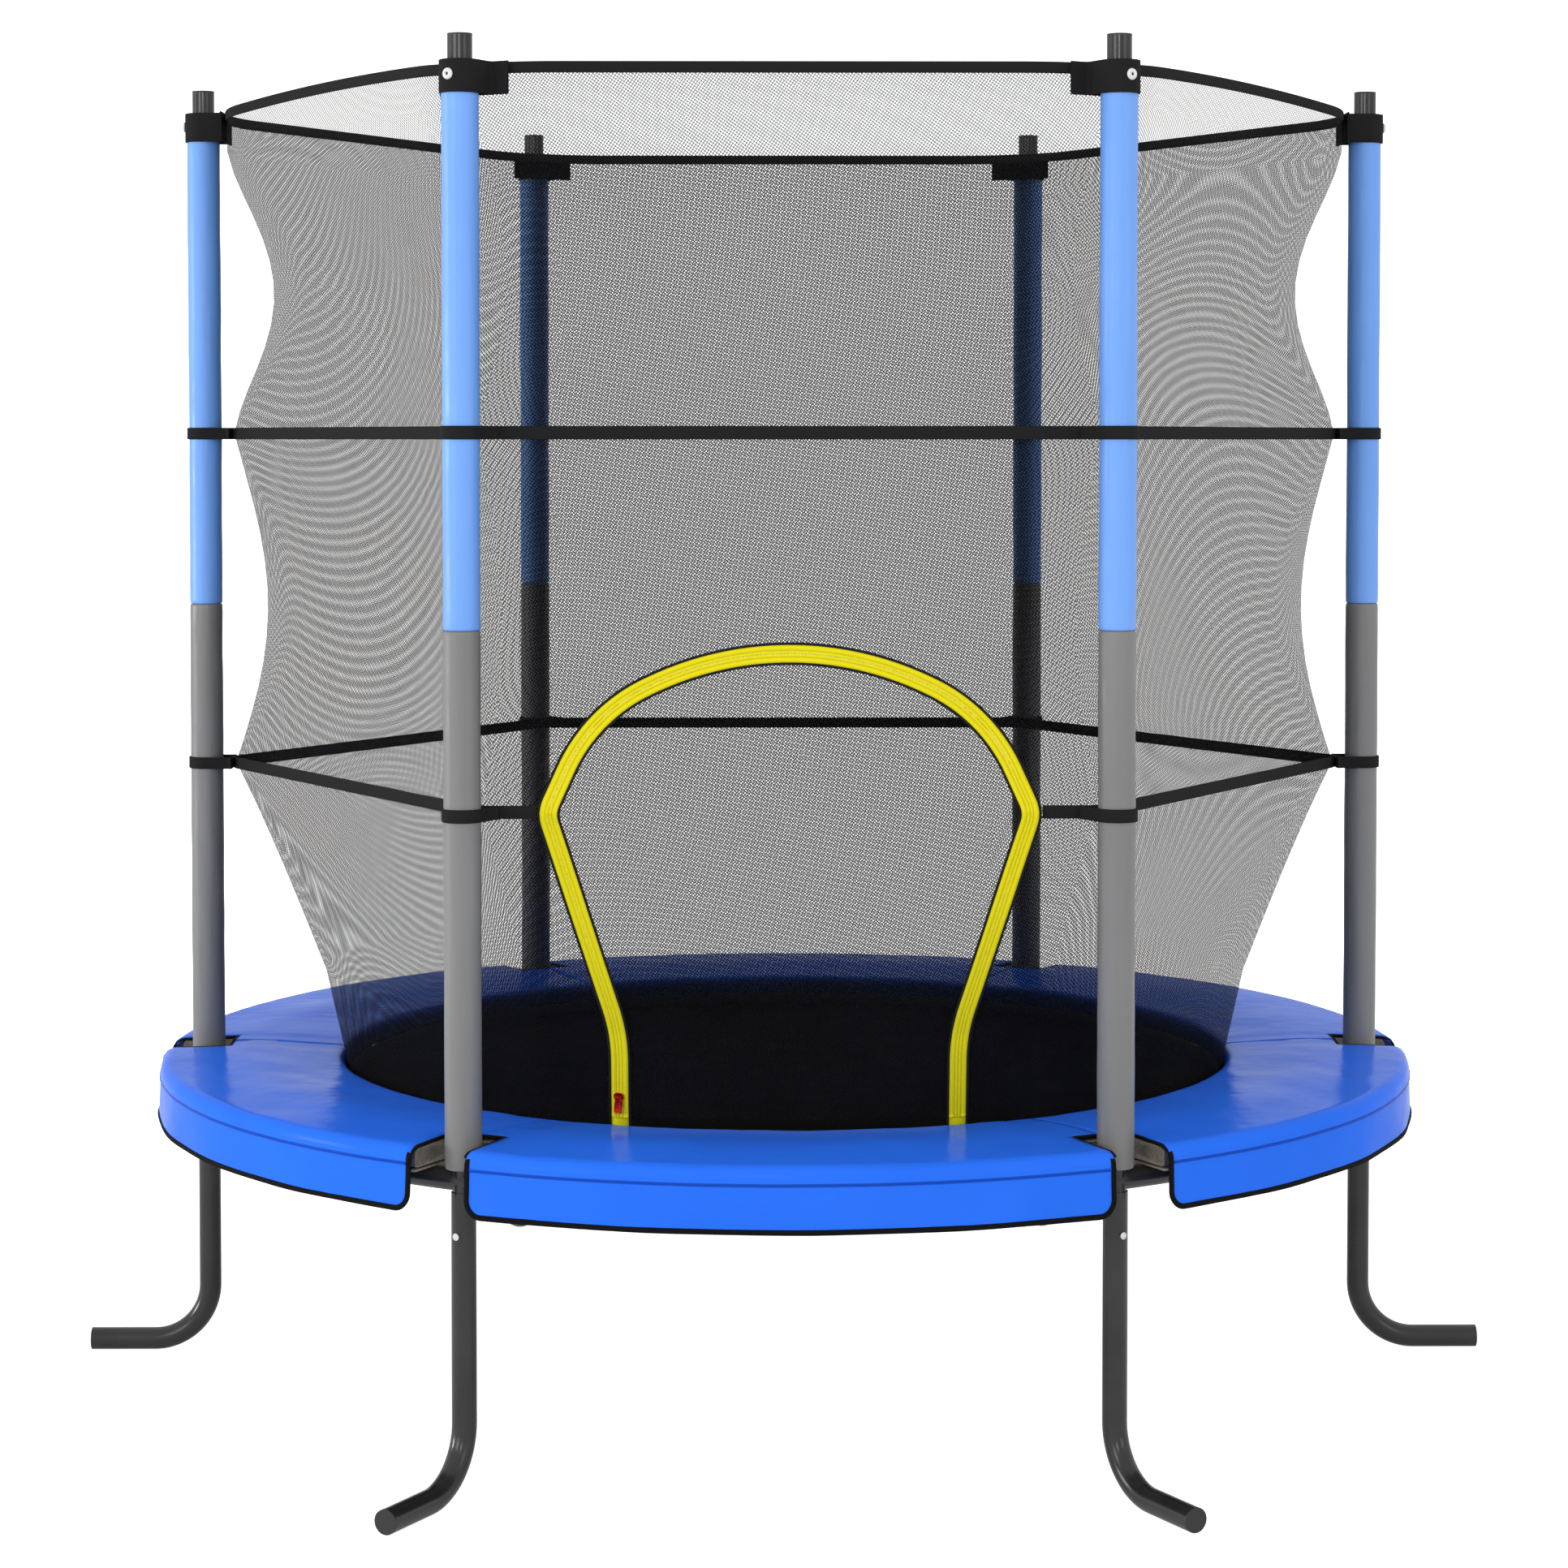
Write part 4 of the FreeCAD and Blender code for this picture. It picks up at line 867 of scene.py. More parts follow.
for name in stretch_names:
    widest = 2 * float(half_width(name, upper_band_height))
    panel = front_panel() if name == "front" else full_panel(name)
    stands_for = ["net_panel_" + name]
    made = piece("net_" + name, [panel], [net_finish], "root", stands_for, weld=False)

flap = [door_panel()]
door = piece("net_door_flap", flap, [net_finish], "net_door", ["door_net"], weld=False)


# Zip: distances from the zip line and from the net
tape_edge = 0.0125
tape_yellow = 0.0099
tape_inner = 0.0009
tape_outer = 0.0021
end_outer = 0.0019
bound_outer = 0.0024
bound_middle = 0.0016
bound_inner = 0.0007
bound_bulge = 0.0003
bound_overlap = 0.0002
closed_foot = 0.372
closed_top = 0.4075
coarse_step = 8
teeth_inner = 0.0001
teeth_outer = 0.0036
tooth_depth = 0.0003
zip_foot = 0.4055
beside_zip = zip_line[:, 1] >= zip_foot


def zip_strip(sides, offsets, chosen, finish=0, ridge=None):
    """A closed profile of (distance from the zip line, distance from the net) pairs carried
    along the chosen part of the zip line. Ridge is the depth of the grooves across its top."""
    step = 1 if ridge is not None else coarse_step
    line, out = zip_line[chosen][::step], zip_out[chosen][::step]
    sides, offsets = np.asarray(sides, float), np.asarray(offsets, float)
    along = np.arange(len(line)) * zip_step * step
    flat = line[:, None] + sides[None, :, None] * out[:, None]
    lift = np.broadcast_to(offsets, flat.shape[:2]).copy()
    if ridge is not None:
        groove = 0.5 + 0.5 * np.cos(turn * along / tooth_pitch)
        lift[:, offsets > offsets.mean()] -= ridge * groove[:, None]
    uv = together(*spread(along, np.append(sides, sides[0] + 0.001)))
    return capped(on_front(flat, lift), uv, finish)


def tape(side):
    """One half of the zip: the yellow tape next to the teeth, and its black bound edge."""
    inner, middle, outer = side * teeth_outer, side * tape_yellow, side * tape_edge
    offsets = [tape_outer, tape_outer, tape_inner, tape_inner]
    yellow = zip_strip([inner, middle, middle, inner], offsets, beside_zip)
    black = zip_strip(
        [middle - side * bound_overlap, middle, outer, outer + side * bound_bulge, outer, middle],
        [tape_inner, bound_outer, bound_outer, bound_middle, bound_inner, bound_inner],
        beside_zip,
        finish=1,
    )
    return flipped_if(side > 0, yellow + black)


def tape_end():
    """The closed zip's foot behind the pad: yellow over its whole width, with black edges."""
    wide = tape_yellow
    low_part = (zip_line[:, 1] >= closed_foot) & (zip_line[:, 1] <= closed_top)
    ends = []
    for half in (zip_line[:, 0] < 0, zip_line[:, 0] > 0):
        chosen = half & low_part
        offsets = [end_outer, end_outer, tape_inner, tape_inner]
        ends += zip_strip([-wide, wide, wide, -wide], offsets, chosen)
        for side in (-1, 1):
            sides = [side * tape_yellow, side * tape_edge, side * tape_edge, side * tape_yellow]
            offsets = [bound_outer, bound_outer, bound_inner, bound_inner]
            ends += flipped_if(side > 0, zip_strip(sides, offsets, chosen, finish=1))
    return ends


def teeth(side):
    """One row of zip teeth: a low ribbed bead beside the zip line."""
    inner, outer = side * teeth_inner, side * teeth_outer
    sides = [inner, inner, outer - side * 0.0004, outer + side * 0.0002]
    row = zip_strip(sides, [tape_inner, 0.0024, 0.0025, tape_inner], beside_zip, ridge=tooth_depth)
    return flipped_if(side > 0, row)


for side, label, body in ((1, "frame_side", "root"), (-1, "door_side", "net_door")):
    strips = tape(side)
    if side > 0:
        strips += tape_end()
    cloths = [tape_finish, webbing_finish]
    piece("zip_tape_cloth_" + label, strips, cloths, body, ["zip_tape_" + label])
    row = teeth(side)
    piece("zip_teeth_row_" + label, row, [teeth_finish], body, ["zip_teeth_" + label])


# Webbing: top hem, bands round the net, loops and collars at the poles
ring_step = 0.008


def net_ring(height, gap=None):
    """The closed line round the net at a height, or the open one that leaves out the gap in the
    middle of the front, with the directions out of it."""
    order = ["front", "right_front", "right_back", "back", "left_back", "left_front", "front"]
    last = len(order) - 1
    lines, outs = [], []
    for k, name in enumerate(order):
        wide = float(half_width(name, height))
        low = (gap or 0.0) if k == 0 else -wide
        high = -(gap or 0.0) if k == last else wide
        across = np.linspace(low, high, max(8, int((high - low) / ring_step)))
        if gap is None or k < last:
            across = across[:-1]
        lines.append(net_point(name, across, height))
        outs.append(unit(net_point(name, across, height, 0.01) - lines[-1]))
    return np.concatenate(lines), np.concatenate(outs)


def band(name, replaces, height, width=band_width, inner=webbing_inner, outer=webbing_outer, gap=None):
    """A strap's outline carried round the net."""
    line, out = net_ring(height, gap)
    profile = strap_profile(width, outer - inner) + [(inner + outer) / 2, 0]
    up = np.broadcast_to([0.0, 0.0, 1.0], line.shape)
    strips = swept(line, out, up, profile, closed_path=gap is None)
    piece(name, strips, [webbing_finish], "root", replaces)


band("net_top_hem", ["top_hem"], height=1.593, width=0.013, inner=-0.0015)
band("net_foot_hem", [], height=0.3688, width=0.0158, inner=-0.0009, outer=0.0008)
band("net_upper_band", ["upper_band"], height=upper_band_height)
band("net_lower_band", ["lower_band"], height=lower_band_height, gap=0.283)

collar_height = 0.037
collar_level = 1.6 - collar_height / 2
collar_back = -0.02835
collar_half = 0.045
loop_back = -0.03335
loop_half = 0.0233
strap_thickness = 0.002
strap_lift = 0.0013
tab_set_back = 0.0006
tab_shorter = 0.001


def strap_round_pole(angle, tab_x, tab_half, width, level):
    """A strap that goes round the sleeve and spreads into two tabs on the net, and the flat tab
    behind it: a strap's outline carried along that line."""
    middle = sleeve_radius + strap_lift
    corner = 0.004
    turns = np.linspace(-math.pi / 2, math.pi / 2, 40)
    arc = together(middle * np.cos(turns), middle * np.sin(turns))
    route = [(tab_x, -tab_half), (tab_x, -middle), *arc.tolist(), (tab_x, middle), (tab_x, tab_half)]
    bends = [0, corner] + [0.003] * len(arc) + [corner, 0]
    front = rounded_route(route, bends, 0.0012)
    along = heading(front)
    back_half = tab_half - tab_shorter
    back = together(tab_x - tab_set_back, np.linspace(-back_half, back_half, 24))
    strips = []
    for line, out_x, out_y in ((front, along[:, 1], -along[:, 0]), (back, 1.0, 0.0)):
        local = together(pole_circle + line[:, 0], line[:, 1], level)
        out = np.broadcast_to(together(out_x, out_y, 0.0), local.shape)
        up = np.broadcast_to([0.0, 0.0, 1.0], local.shape)
        profile = strap_profile(width, strap_thickness)
        strips += swept(at_angle(local, angle), at_angle(out, angle), up, profile)
    return strips


collars = []
loops = []
for angle in pole_angles:
    collars += strap_round_pole(angle, collar_back, collar_half, collar_height, collar_level)
    for height in (lower_band_height, upper_band_height):
        loops += strap_round_pole(angle, loop_back, loop_half, band_width, height)
piece("net_pole_collars", collars, [webbing_finish], "root", ["net_collars"])
piece("net_band_loops", loops, [webbing_finish], "root", ["band_loops"])


# Bolts through the collars: a button head round a socket whose floor is painted black, painted shade in
# the recess
bolt_level = 1.583
bolt_foot = 0.758
bolt_face = 0.7704
bolt_shank = 0.0024
bolt_radius = 0.0065
socket_radius = 0.002
socket_floor = bolt_face + 0.0012
tip_radius = 0.00001
head_profile = [
    (bolt_foot, tip_radius),
    (bolt_foot, bolt_shank),
    (bolt_face, bolt_shank),
    (bolt_face, bolt_radius - 0.0004),
    (bolt_face + 0.0008, bolt_radius),
    (bolt_face + 0.0022, bolt_radius - 0.0009),
    (bolt_face + 0.0031, bolt_radius - 0.0024),
    (bolt_face + 0.0032, socket_radius + 0.0005),
    (bolt_face + 0.0028, socket_radius),
    (socket_floor, socket_radius - 0.0001),
]
socket_profile = [head_profile[-1], (socket_floor, tip_radius)]


def bolt_part(profile, angle, finish):
    """A profile of (distance outwards, radius) pairs turned round a line that points outwards
    from the middle of the net."""
    outward, radius = np.array(profile).T[..., None]
    turns = circle(28)
    local = together(outward, radius * np.cos(turns), bolt_level + radius * np.sin(turns))
    return patch(at_angle(local, angle), wrap_columns=True, finish=finish)


bolts = []
for angle in pole_angles:
    # The socket's floor takes the black plastic finish: painted shade at the bottom of the recess.
    bolts += [bolt_part(head_profile, angle, 0), bolt_part(socket_profile, angle, 1)]
piece("net_collar_bolts", bolts, [bolt_finish, plastic_finish], "root", ["collar_bolts"])


# Zip slider and its pull, in a frame that points out of the net, across the zip and up it
def zip_place(beside, height):
    """The point of the net beside the left foot of the zip line, at a height."""
    return on_front(np.array([beside - door_foot_half, height]), 0.0)


slider_level = 0.427
travel_foot = 0.418
travel_top = 0.487
slider_middle = zip_place(0, slider_level)
slider_up = unit(zip_place(0, travel_top) - zip_place(0, travel_foot))
over_zip = zip_place(0.002, slider_level) - zip_place(-0.002, slider_level)
slider_across = unit(over_zip - slider_up * (over_zip @ slider_up))
slider_out = np.cross(slider_across, slider_up)


def plate(outline, low, high, edge=0.0003):
    """A flat plate with softened edges: the outline gives (across, up) pairs round its middle,
    low and high are its distances from the net."""
    outline = np.array(outline)
    middle = outline.mean(0)
    small = middle + (outline - middle) * (1 - edge / np.abs(outline - middle).max())
    loops = []
    for loop, level in ((small, low), (outline, low + edge), (outline, high - edge), (small, high)):
        flat = loop[:, :1] * slider_across + loop[:, 1:] * slider_up
        loops.append(slider_middle + flat + level * slider_out)
    return capped(np.array(loops))


def mirrored_outline(half):
    """A closed outline from the (across, up) pairs of its right half, from the foot up."""
    line = rounded_route(half, [0] + [0.0012] * (len(half) - 2) + [0], 0.0006)
    return np.concatenate([line[1:-1], line[-2:0:-1] * [-1, 1]])


def box_outline(half_across, low, high):
    """The corners of an upright rectangle."""
    return [(half_across, low), (half_across, high), (-half_across, high), (-half_across, low)]


slider_face = 0.0033
slider_plate = 0.0015
pin_out = 0.0072
pin_up = 0.0045
pin_radius = 0.0008
pin_half = 0.0032
lug_side = 0.003
eye_radius = 0.0018
eye_wire = 0.0006
pull_half_thickness = 0.0008
slider_outline = mirrored_outline([
    (0, -0.009),
    (0.0042, -0.009),
    (0.0046, 0.001),
    (0.006, 0.003),
    (0.006, 0.0065),
    (0.0035, 0.009),
    (0, 0.009),
])
pull_outline = mirrored_outline([
    (0, -0.0145),
    (0.0044, -0.0145),
    (0.0047, -0.008),
    (0.0036, -0.0015),
    (0.0014, 0.0005),
    (0.0012, 0.0026),
    (0, 0.0026),
])
slider_parts = plate(slider_outline, slider_face, slider_face + slider_plate)
slider_parts += plate(slider_outline, -0.0011, 0.0001)
slider_parts += plate(box_outline(0.0005, -0.008, -0.002), -0.0002, slider_face + 0.0004, edge=0.0001)
for side in (-1, 1):
    lug = np.array(box_outline(0.0006, -0.0016, 0.0016)) + [side * lug_side, pin_up]
    slider_parts += plate(lug, slider_face + 0.001, pin_out + 0.0012, edge=0.0001)
pin_middle = slider_middle + pin_out * slider_out + pin_up * slider_up
pin_places = np.array([[-pin_half], [-0.001], [0.001], [pin_half]])
slider_parts += tube(pin_middle + pin_places * slider_across, pin_radius, sides=16)
piece("zip_slider_body", slider_parts, [red_finish], "zip_runner", ["zip_slider"])
eye_turns = circle(20)[:, None]
eye_path = pin_middle + eye_radius * (np.cos(eye_turns) * slider_out + np.sin(eye_turns) * slider_up)
pull_parts = tube(eye_path, eye_wire, closed_path=True)
pull_parts += plate(pull_outline, pin_out - pull_half_thickness, pin_out + pull_half_thickness)
piece("zip_pull_tab", pull_parts, [red_finish], "zip_handle", ["zip_pull"])


# Jump mat with its sewn edge, and a tab for each ring
mat_radius = 0.6
hem_inner = 0.57
cloth_half = 0.0009
hem_half = 0.0015
tab_inner = 0.578
tab_outer = 0.605
tab_width = 0.014
tab_thickness = 0.001
springs_each = 6
spring_angles = []
for name in stretch_names:
    start, sweep = stretch(name)
    spring_angles += [start + sweep * (k + 0.5) / springs_each for k in range(springs_each)]


def mat_surface():
    """A closed body of revolution about the middle of the mat: over the cloth and its thicker
    hem, round the edge, and back below."""
    radii = [0, 0.1, 0.2, 0.3, 0.4, 0.5, hem_inner - 0.0005, hem_inner, mat_radius - 0.0015]
    radii += [mat_radius, mat_radius - 0.0015, hem_inner, 0.4, 0.2, 0]
    levels = [cloth_half] * 7 + [hem_half] * 2 + [0] + [-hem_half] * 2 + [-cloth_half] * 3
    radius, around = spread(radii, circle(180))
    height = mat_level + np.array(levels)[:, None]
    points = together(radius * np.cos(around), radius * np.sin(around), height)
    uv = np.concatenate([points[..., :2], points[:, :1, :2]], 1)
    return flipped(patch(points, uv, wrap_columns=True))


def ring_tab(angle):
    """A short strap from the mat's edge round the flat side of its ring and back."""
    over = hem_half + 0.0001
    above = [(tab_inner, over), (mat_radius, over)]
    below = [(mat_radius, -over), (tab_inner, -over)]
    line = rounded_route([*above, (tab_outer, 0.0), *below], [0, 0.004, 0.0024, 0.004, 0], 0.001)
    along = heading(line)
    local = at_angle(together(line[:, 0], 0, mat_level + line[:, 1]), angle)
    out = at_angle(together(-along[:, 1], 0, along[:, 0]), angle)
    side = at_angle(np.broadcast_to([0.0, 1.0, 0.0], local.shape), angle)
    strap = swept(local, out, side, strap_profile(tab_width, tab_thickness))
    return [(points, quads, loops, 1) for points, quads, loops, _ in strap]


def v_ring(angle):
    """A triangle of round wire with rounded corners, its point outwards."""
    inner, outer, half = 0.6019, 0.6187, 0.008
    route = [(inner, 0), (inner, half), (outer, 0), (inner, -half), (inner, 0)]
    line = rounded_route(route, [0, 0.0015, 0.0022, 0.0015, 0], 0.0008)[:-1]
    local = together(line[:, 0], line[:, 1], mat_level)
    return tube(at_angle(local, angle), 0.0016, sides=8, closed_path=True)


mat_parts = [mat_surface()]
rings = []
for angle in spring_angles:
    mat_parts += ring_tab(angle)
    rings += v_ring(angle)
mat_cloths = [mat_finish, webbing_finish]
mat_piece = piece("jump_mat_cloth", mat_parts, mat_cloths, "jump_surface", ["jump_mat"])
piece("mat_v_rings", rings, [zinc_finish], "jump_surface", ["v_rings"])


# Springs: closely wound wire with a hook at each end
spring_inner = 0.6175
spring_outer = 0.7347
spring_hook = 0.016
coil_radius = 0.0062
spring_wire = 0.0013
coil_sides = 9
hook_eye = 0.0042


def spring_line():
    """Hook, closely wound helix, hook: the line of the wire along x."""
    start = spring_inner + spring_hook
    length = spring_outer - spring_hook - start
    turns = int(length / (spring_wire * 2 + 0.0001))
    share = np.linspace(0, 1, turns * coil_sides + 1)
    swing = share * turns * turn
    coil = together(start + length * share, coil_radius * np.cos(swing), coil_radius * np.sin(swing))
    bend = np.linspace(-0.75 * math.pi, 0.5 * math.pi, 12)
    first = together(spring_inner + hook_eye - 0.001 - hook_eye * np.cos(bend), 0, hook_eye * np.sin(bend))
    last = first[::-1] * [-1, 1, 1] + [spring_inner + spring_outer, 0, 0]
    return np.concatenate([first, coil, last])


spring_path = spring_line() + [0, 0, mat_level]
for k, angle in enumerate(spring_angles):
    wire = tube(at_angle(spring_path, angle), spring_wire, sides=5)
    stands_for = ["springs"] if k == 0 else []
    made = piece(f"spring_{k + 1:02d}", wire, [zinc_finish], None, stands_for)
    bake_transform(made)


# Elastic ties from the foot of the net to the frame tube
tie_level = 0.36795
tie_inner = 0.5607
tie_outer = 0.7365
tie_radius = 0.0012
tie_wave = 0.0004
tie_wave_start = 0.56
tie_waves = 90


def net_tie(angle):
    """A thin round elastic that lies in slight waves, a sine of the distance outwards."""
    along = np.linspace(tie_inner, tie_outer, 40)
    local = together(along, tie_wave * np.sin((along - tie_wave_start) * tie_waves), tie_level)
    return tube(at_angle(local, angle), tie_radius, sides=8)


ties = []
for name in stretch_names:
    start, sweep = stretch(name)
    for share in (1 / 6, 5 / 6):
        ties += net_tie(start + sweep * share)
piece("net_foot_ties", ties, [elastic_finish], "root", ["net_ties"])


# Frame pads: a cover of coated cloth round foam, with a hanging skirt
pad_inner = 0.568
pad_outer = 0.7995
pad_under = 0.3717
pad_skirt_foot = 0.3295
pad_edge_top = 0.3968
pad_crown_radius = 0.684
pad_crown_top = 0.4042
pad_rim_top = 0.4
notch_half = 0.037
notch_radius = 0.712
seam_half = 0.0004
skirt_corner = 0.02
skirt_height = 0.0525
lining_set_back = 0.008
groove_depth = 0.0012
groove_width = 0.0011
pucker_size = 0.00012
pucker_pitch = 0.011
pucker_reach = 0.007
hang_size = 0.0009
hang_pitch = 0.19
hang_reach = 0.05
end_drop = 0.0009
end_reach = 0.012
pad_corners = [
    (0.789, pad_under),
    (pad_inner + 0.0006, pad_under),
    (pad_inner + 0.0006, pad_edge_top),
    (pad_crown_radius, pad_crown_top),
    (pad_outer - 0.002, pad_rim_top),
    (pad_outer, pad_skirt_foot),
]
pad_line = rounded_route(pad_corners, [0, 0.004, 0.012, 0.6, 0.011, 0], 0.0042)
pad_length = distances(pad_line)
pad_along = heading(pad_line)
pad_total = pad_length[-1]
pad_turn = np.argmin(pad_line[:, 0])
skirt_seam = float(pad_total) - skirt_height
outward_crossing = pad_length[np.argmax((pad_line[:, 0] > notch_radius) & (pad_length > 0.25))]
inner_crossing = float(np.interp(-notch_radius, -pad_line[:pad_turn, 0], pad_length[:pad_turn]))
pad_finish = pad_vinyl("blue pad vinyl", (0.027, 0.178, 0.97), (0.025, 0.165, 0.91), skirt_seam)
pad_waves = {}
for name in stretch_names:
    slow = Ripple(waves=9, size=0.00035, low=0.07, high=0.26)
    small = Ripple(waves=12, size=0.0001, low=0.02, high=0.05)
    pad_waves[name] = slow, small


def pad_gap(length):
    """Distance of the pad's edge from the plane of the pole: the notch beside the pole, with a
    rounded corner where the skirt ends."""
    low = np.clip((length - (pad_total - skirt_corner)) / skirt_corner, 0, 1)
    return notch_half + skirt_corner * (1 - np.sqrt(1 - low ** 2))


def round_ring(name, radius, gap, share, height):
    """The point at a radius and a height whose angle is a share of the way from gap beside the
    first pole's plane to gap beside the second one's."""
    start, sweep = stretch(name)
    clear = np.arcsin(np.clip(gap / radius, -1, 1))
    angle = start + clear + (sweep - 2 * clear) * share
    return together(radius * np.cos(angle), radius * np.sin(angle), height)


def pad_point(name, gap, share, length, lift):
    """A point of the pad's cover, moved out of it by lift: length runs along the profile, from
    under the rim inwards, over the top and down the skirt."""
    radius, height = [np.interp(length, pad_length, column) for column in pad_line.T]
    slope_out, slope_up = [np.interp(length, pad_length, column) for column in pad_along.T]
    return round_ring(name, radius + slope_up * lift, gap, share, height + slope_out * lift)


def pad_lift(name, share, length):
    """How far the cover swells from its plain profile: slow waves, a narrow groove at the seam
    below the rim, faint puckers beside it, a skirt whose waves grow with the square of the way to
    its foot, and a drop at both ends. The underside stays flat."""
    start, sweep = stretch(name)
    along = share * sweep * 0.75
    below = length - skirt_seam
    slow, small = pad_waves[name]
    waves = slow.at(along, length) + small.at(along, length)
    groove = -groove_depth * np.exp(-((below / groove_width) ** 2))
    pucker = pucker_size * np.sin(along * turn / pucker_pitch) * np.exp(-((below / pucker_reach) ** 2))
    hang = np.clip(below / hang_reach, 0, 1) ** 2 * hang_size * np.sin(along * turn / hang_pitch + start)
    ends = np.exp(-np.minimum(share, 1 - share) * sweep * 0.7 / end_reach)
    flat_under = np.clip((length - 0.23) / 0.02, 0, 1)
    return (waves + groove + pucker + hang - end_drop * ends) * flat_under


def pad_cover(name):
    """The cover as one sheet over (way from pole to pole, length along the profile). Beyond the
    depth of the notch the sheet ends beside the pole, inside it the sheet runs on to the seam."""
    near_seam = skirt_seam + np.linspace(-0.003, 0.003, 13)
    places = np.unique(np.concatenate([pad_length, near_seam, [outward_crossing, inner_crossing]]))
    tongue, main = 4, 97
    share = np.concatenate([np.zeros(tongue), np.linspace(0, 1, main), np.ones(tongue)])
    near = np.concatenate([np.linspace(0, 1, tongue, endpoint=False), np.ones(main)])
    near = np.concatenate([near, np.linspace(1, 0, tongue + 1)[1:]])
    length, share_grid = spread(places, share)
    gap = seam_half + (pad_gap(length) - seam_half) * near
    points = pad_point(name, gap, share_grid, length, pad_lift(name, share_grid, length))
    inside = (places >= inner_crossing - 1e-6) & (places <= outward_crossing + 1e-6)
    column_main = np.zeros(len(share) - 1, bool)
    column_main[tongue : tongue + main - 1] = True
    keep = (inside[:-1] & inside[1:])[:, None] | column_main[None, :]
    uv = together(share_grid * stretch(name)[1] * 0.72, length)
    cover = patch(points, uv, keep=keep)
    lining = (places < pad_length[pad_turn] - lining_set_back).astype(int)
    return (*cover[:3], np.broadcast_to(lining[:-1, None], keep.shape)[keep])


def foam_core(name):
    """The foam inside: the cover's profile moved inwards, as a closed bar cut square at the
    notches, and narrower bars that run on to the seam."""
    inset = 0.0028
    clearance = 0.0012
    rim = 0.788
    corners = [
        (pad_inner + inset, pad_under + inset),
        (rim, pad_under + inset),
        (rim, 0.3965),
        (pad_crown_radius, 0.4012),
        (pad_inner + inset, 0.3942),
    ]
    short = [(min(r, notch_radius - 0.001), z) for r, z in corners]
    beside_pole = notch_half + clearance
    bars = [
        (corners, beside_pole, 0.0, beside_pole, 1.0, 40),
        (short, clearance, 0.0, beside_pole, 0.0, 6),
        (short, beside_pole, 1.0, clearance, 1.0, 6),
    ]
    parts = []
    for outline, gap_a, share_a, gap_b, share_b, columns in bars:
        closed = np.array(outline + outline[:1])
        foot_middle = (closed[0] + closed[1]) / 2
        bends = [0, 0.004, 0.006, 0.3, 0.006, 0.003, 0]
        line = rounded_route([foot_middle, *closed[1:], foot_middle], bends, 0.004)[:-1]
        steps = np.linspace(0, 1, columns)[:, None]
        gaps, shares = way(gap_a, gap_b, steps), way(share_a, share_b, steps)
        parts += capped(round_ring(name, line[None, :, 0], gaps, shares, line[None, :, 1]))
    return parts


binding_width = 0.0065
binding_thickness = 0.0038
binding_past_edge = 0.0015
binding_sink = 0.0006


def pad_binding(name):
    """A flat folded tape along the cover's edge, from the seam along the notch, over the rim and
    round the skirt: its outline lies half over the edge, in the frame of the edge's direction
    and the cover's outward direction."""
    route = [
        (seam_half + 0.0012, outward_crossing),
        (notch_half, outward_crossing),
        (notch_half, pad_total),
        (notch_half + 1.02 * skirt_corner, pad_total),
    ]
    half = rounded_route(route, [0, 0.006, skirt_corner, 0], 0.0016)
    middle = np.linspace(0, 1, 100)[1:-1]
    skirt_foot = np.broadcast_to(half[-1], (len(middle), 2))
    gaps, lengths = np.concatenate([half, skirt_foot, half[::-1]]).T
    shares = np.concatenate([np.zeros(len(half)), middle, np.ones(len(half))])
    lift = pad_lift(name, shares, lengths) - binding_sink
    path = pad_point(name, gaps, shares, lengths, lift)
    out = unit(pad_point(name, gaps, shares, lengths, lift + 0.002) - path)
    inward = unit(np.cross(heading(path), out))
    inner_shift = binding_width / 2 - binding_past_edge
    profile = strap_profile(binding_width, binding_thickness) - [0, inner_shift]
    return swept(path, out, -inward, profile)


foam_parts = []
binding_parts = []
pad_cloths = [pad_finish, foam_finish]
for name in stretch_names:
    made = piece("pad_cover_" + name, [pad_cover(name)], pad_cloths, "root", ["pad_" + name])
    solid = made.modifiers.new("cloth thickness", "SOLIDIFY")
    solid.thickness = 0.0012
    solid.offset = -1
    foam_parts += foam_core(name)
    binding_parts += pad_binding(name)
foam_piece = piece("pad_foam", foam_parts, [foam_finish], "root", ["pad_foam_cores"])
piece("pad_edge_binding", binding_parts, [binding_finish], "root", ["skirt_piping"])


# Floor, backdrop and light
floor_white = 0.8
backdrop_strength = 1.81
fill_strength = 0.9
mirror_strength = 0.85


def mirrored_rays(tree):
    """What the camera sees, and what shows in mirrors or through glass."""
    paths = tree.nodes.new("ShaderNodeLightPath").outputs
    mirrored = maths(tree, "MAXIMUM", paths["Is Glossy Ray"], paths["Is Transmission Ray"])
    return paths["Is Camera Ray"], mirrored


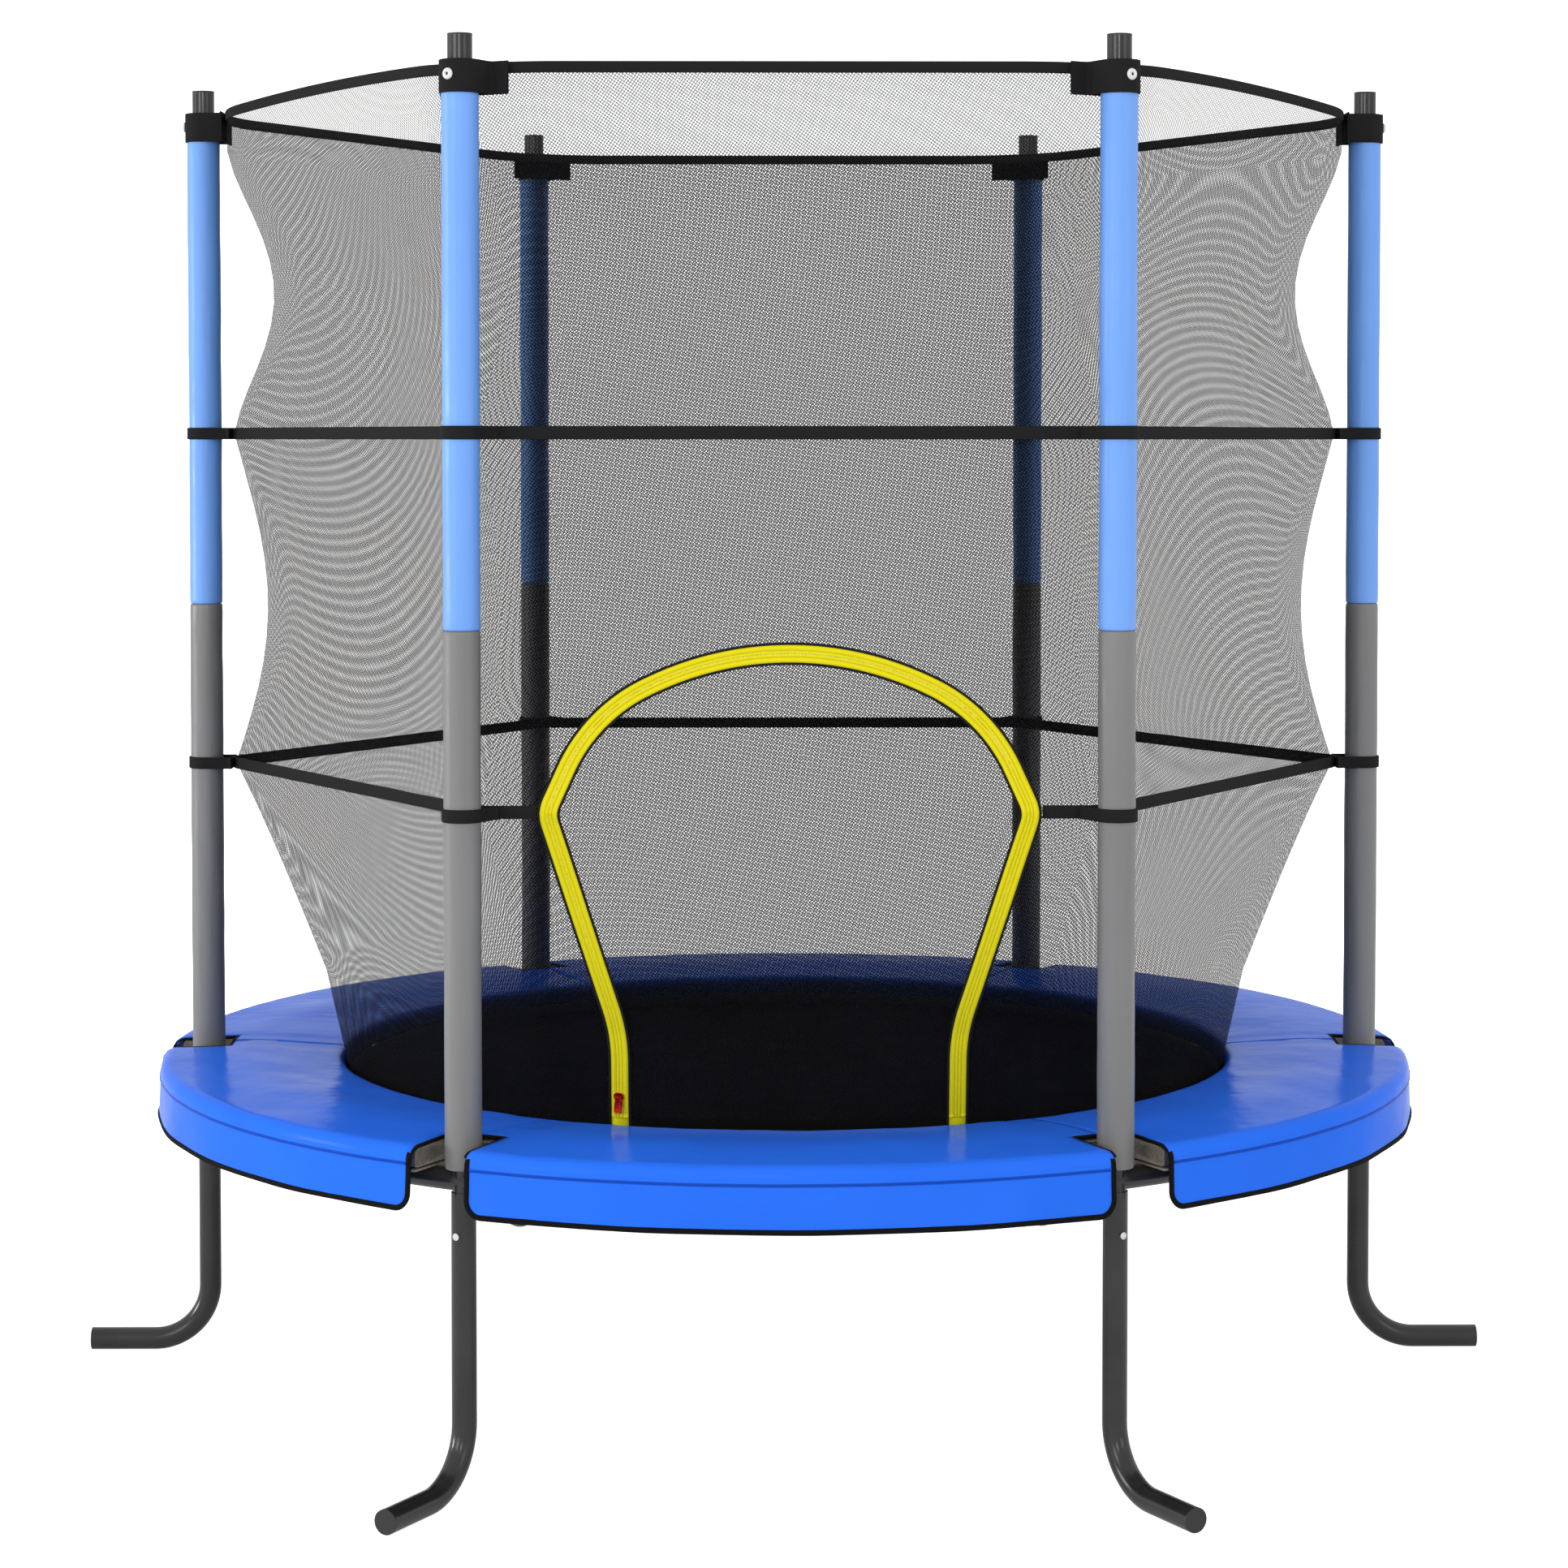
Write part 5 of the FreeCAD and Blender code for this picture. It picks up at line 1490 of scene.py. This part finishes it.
def plain_stage():
    """A white floor that keeps a soft shadow. What the camera sees of it turns into plain white
    away from the object, and further out it is as bright as the photograph's backdrop."""
    size = 60.0
    near_glow = 0.85
    far_glow = backdrop_strength - floor_white * fill_strength
    mirror_glow = 0.2
    mesh = bpy.data.meshes.new("floor")
    corners = [(-size, -size, 0), (size, -size, 0), (size, size, 0), (-size, size, 0)]
    mesh.from_pydata(corners, [], [(0, 1, 2, 3)])
    floor = bpy.data.objects.new("floor", mesh)
    bpy.context.scene.collection.objects.link(floor)
    material = bpy.data.materials.new("white floor")
    material.use_nodes = True
    tree = material.node_tree
    tree.nodes.clear()
    place = tree.nodes.new("ShaderNodeTexCoord").outputs["Object"]
    distance = add(tree, "ShaderNodeVectorMath", {0: place}, operation="LENGTH").outputs["Value"]
    glow = ranged(tree, distance, 1.1, 1.8, near_glow, far_glow, interpolation_type="SMOOTHSTEP")
    camera_rays, mirrored = mirrored_rays(tree)
    seen = maths(tree, "MULTIPLY", glow, camera_rays)
    strength = maths(tree, "ADD", seen, maths(tree, "MULTIPLY", mirrored, mirror_glow))
    diffuse = add(tree, "ShaderNodeBsdfDiffuse", {"Color": (floor_white,) * 3 + (1,)}).outputs[0]
    emission = add(tree, "ShaderNodeEmission", {"Strength": strength}).outputs[0]
    total = add(tree, "ShaderNodeAddShader", {0: diffuse, 1: emission}).outputs[0]
    add(tree, "ShaderNodeOutputMaterial", {"Surface": total})
    mesh.materials.append(material)


def white_world():
    """Even light from all sides; the camera and mirrors see a white backdrop."""
    world = bpy.data.worlds.new("studio")
    bpy.context.scene.world = world
    world.use_nodes = True
    tree = world.node_tree
    background = tree.nodes["Background"]
    camera_rays, mirrored = mirrored_rays(tree)
    bright = maths(tree, "MULTIPLY", camera_rays, backdrop_strength - fill_strength)
    glossy = maths(tree, "MULTIPLY", mirrored, mirror_strength - fill_strength)
    strength = maths(tree, "ADD", maths(tree, "ADD", fill_strength, bright), glossy)
    tree.links.new(strength, background.inputs["Strength"])
    background.inputs["Color"].default_value = (1, 1, 1, 1)


def soft_lamp(name, place, size, power):
    """A square lamp that faces the middle of the net."""
    data = bpy.data.lights.new(name, "AREA")
    data.size = size
    data.energy = power
    lamp = bpy.data.objects.new(name, data)
    lamp.location = place
    aim = Vector((0, 0, 0.8)) - Vector(place)
    lamp.rotation_euler = aim.to_track_quat("-Z", "Y").to_euler()
    bpy.context.scene.collection.objects.link(lamp)


plain_stage()
white_world()
soft_lamp("left lamp", (-3.2, -4.0, 1.9), size=1.6, power=30)
soft_lamp("right lamp", (3.4, -3.8, 1.9), size=1.6, power=12)
soft_lamp("front lamp", (-0.4, -5.6, 2.3), size=0.8, power=20)
soft_lamp("edge lamp", (-6.0, -0.6, 1.2), size=1.2, power=80)

bpy.context.scene.view_settings.view_transform = "Standard"
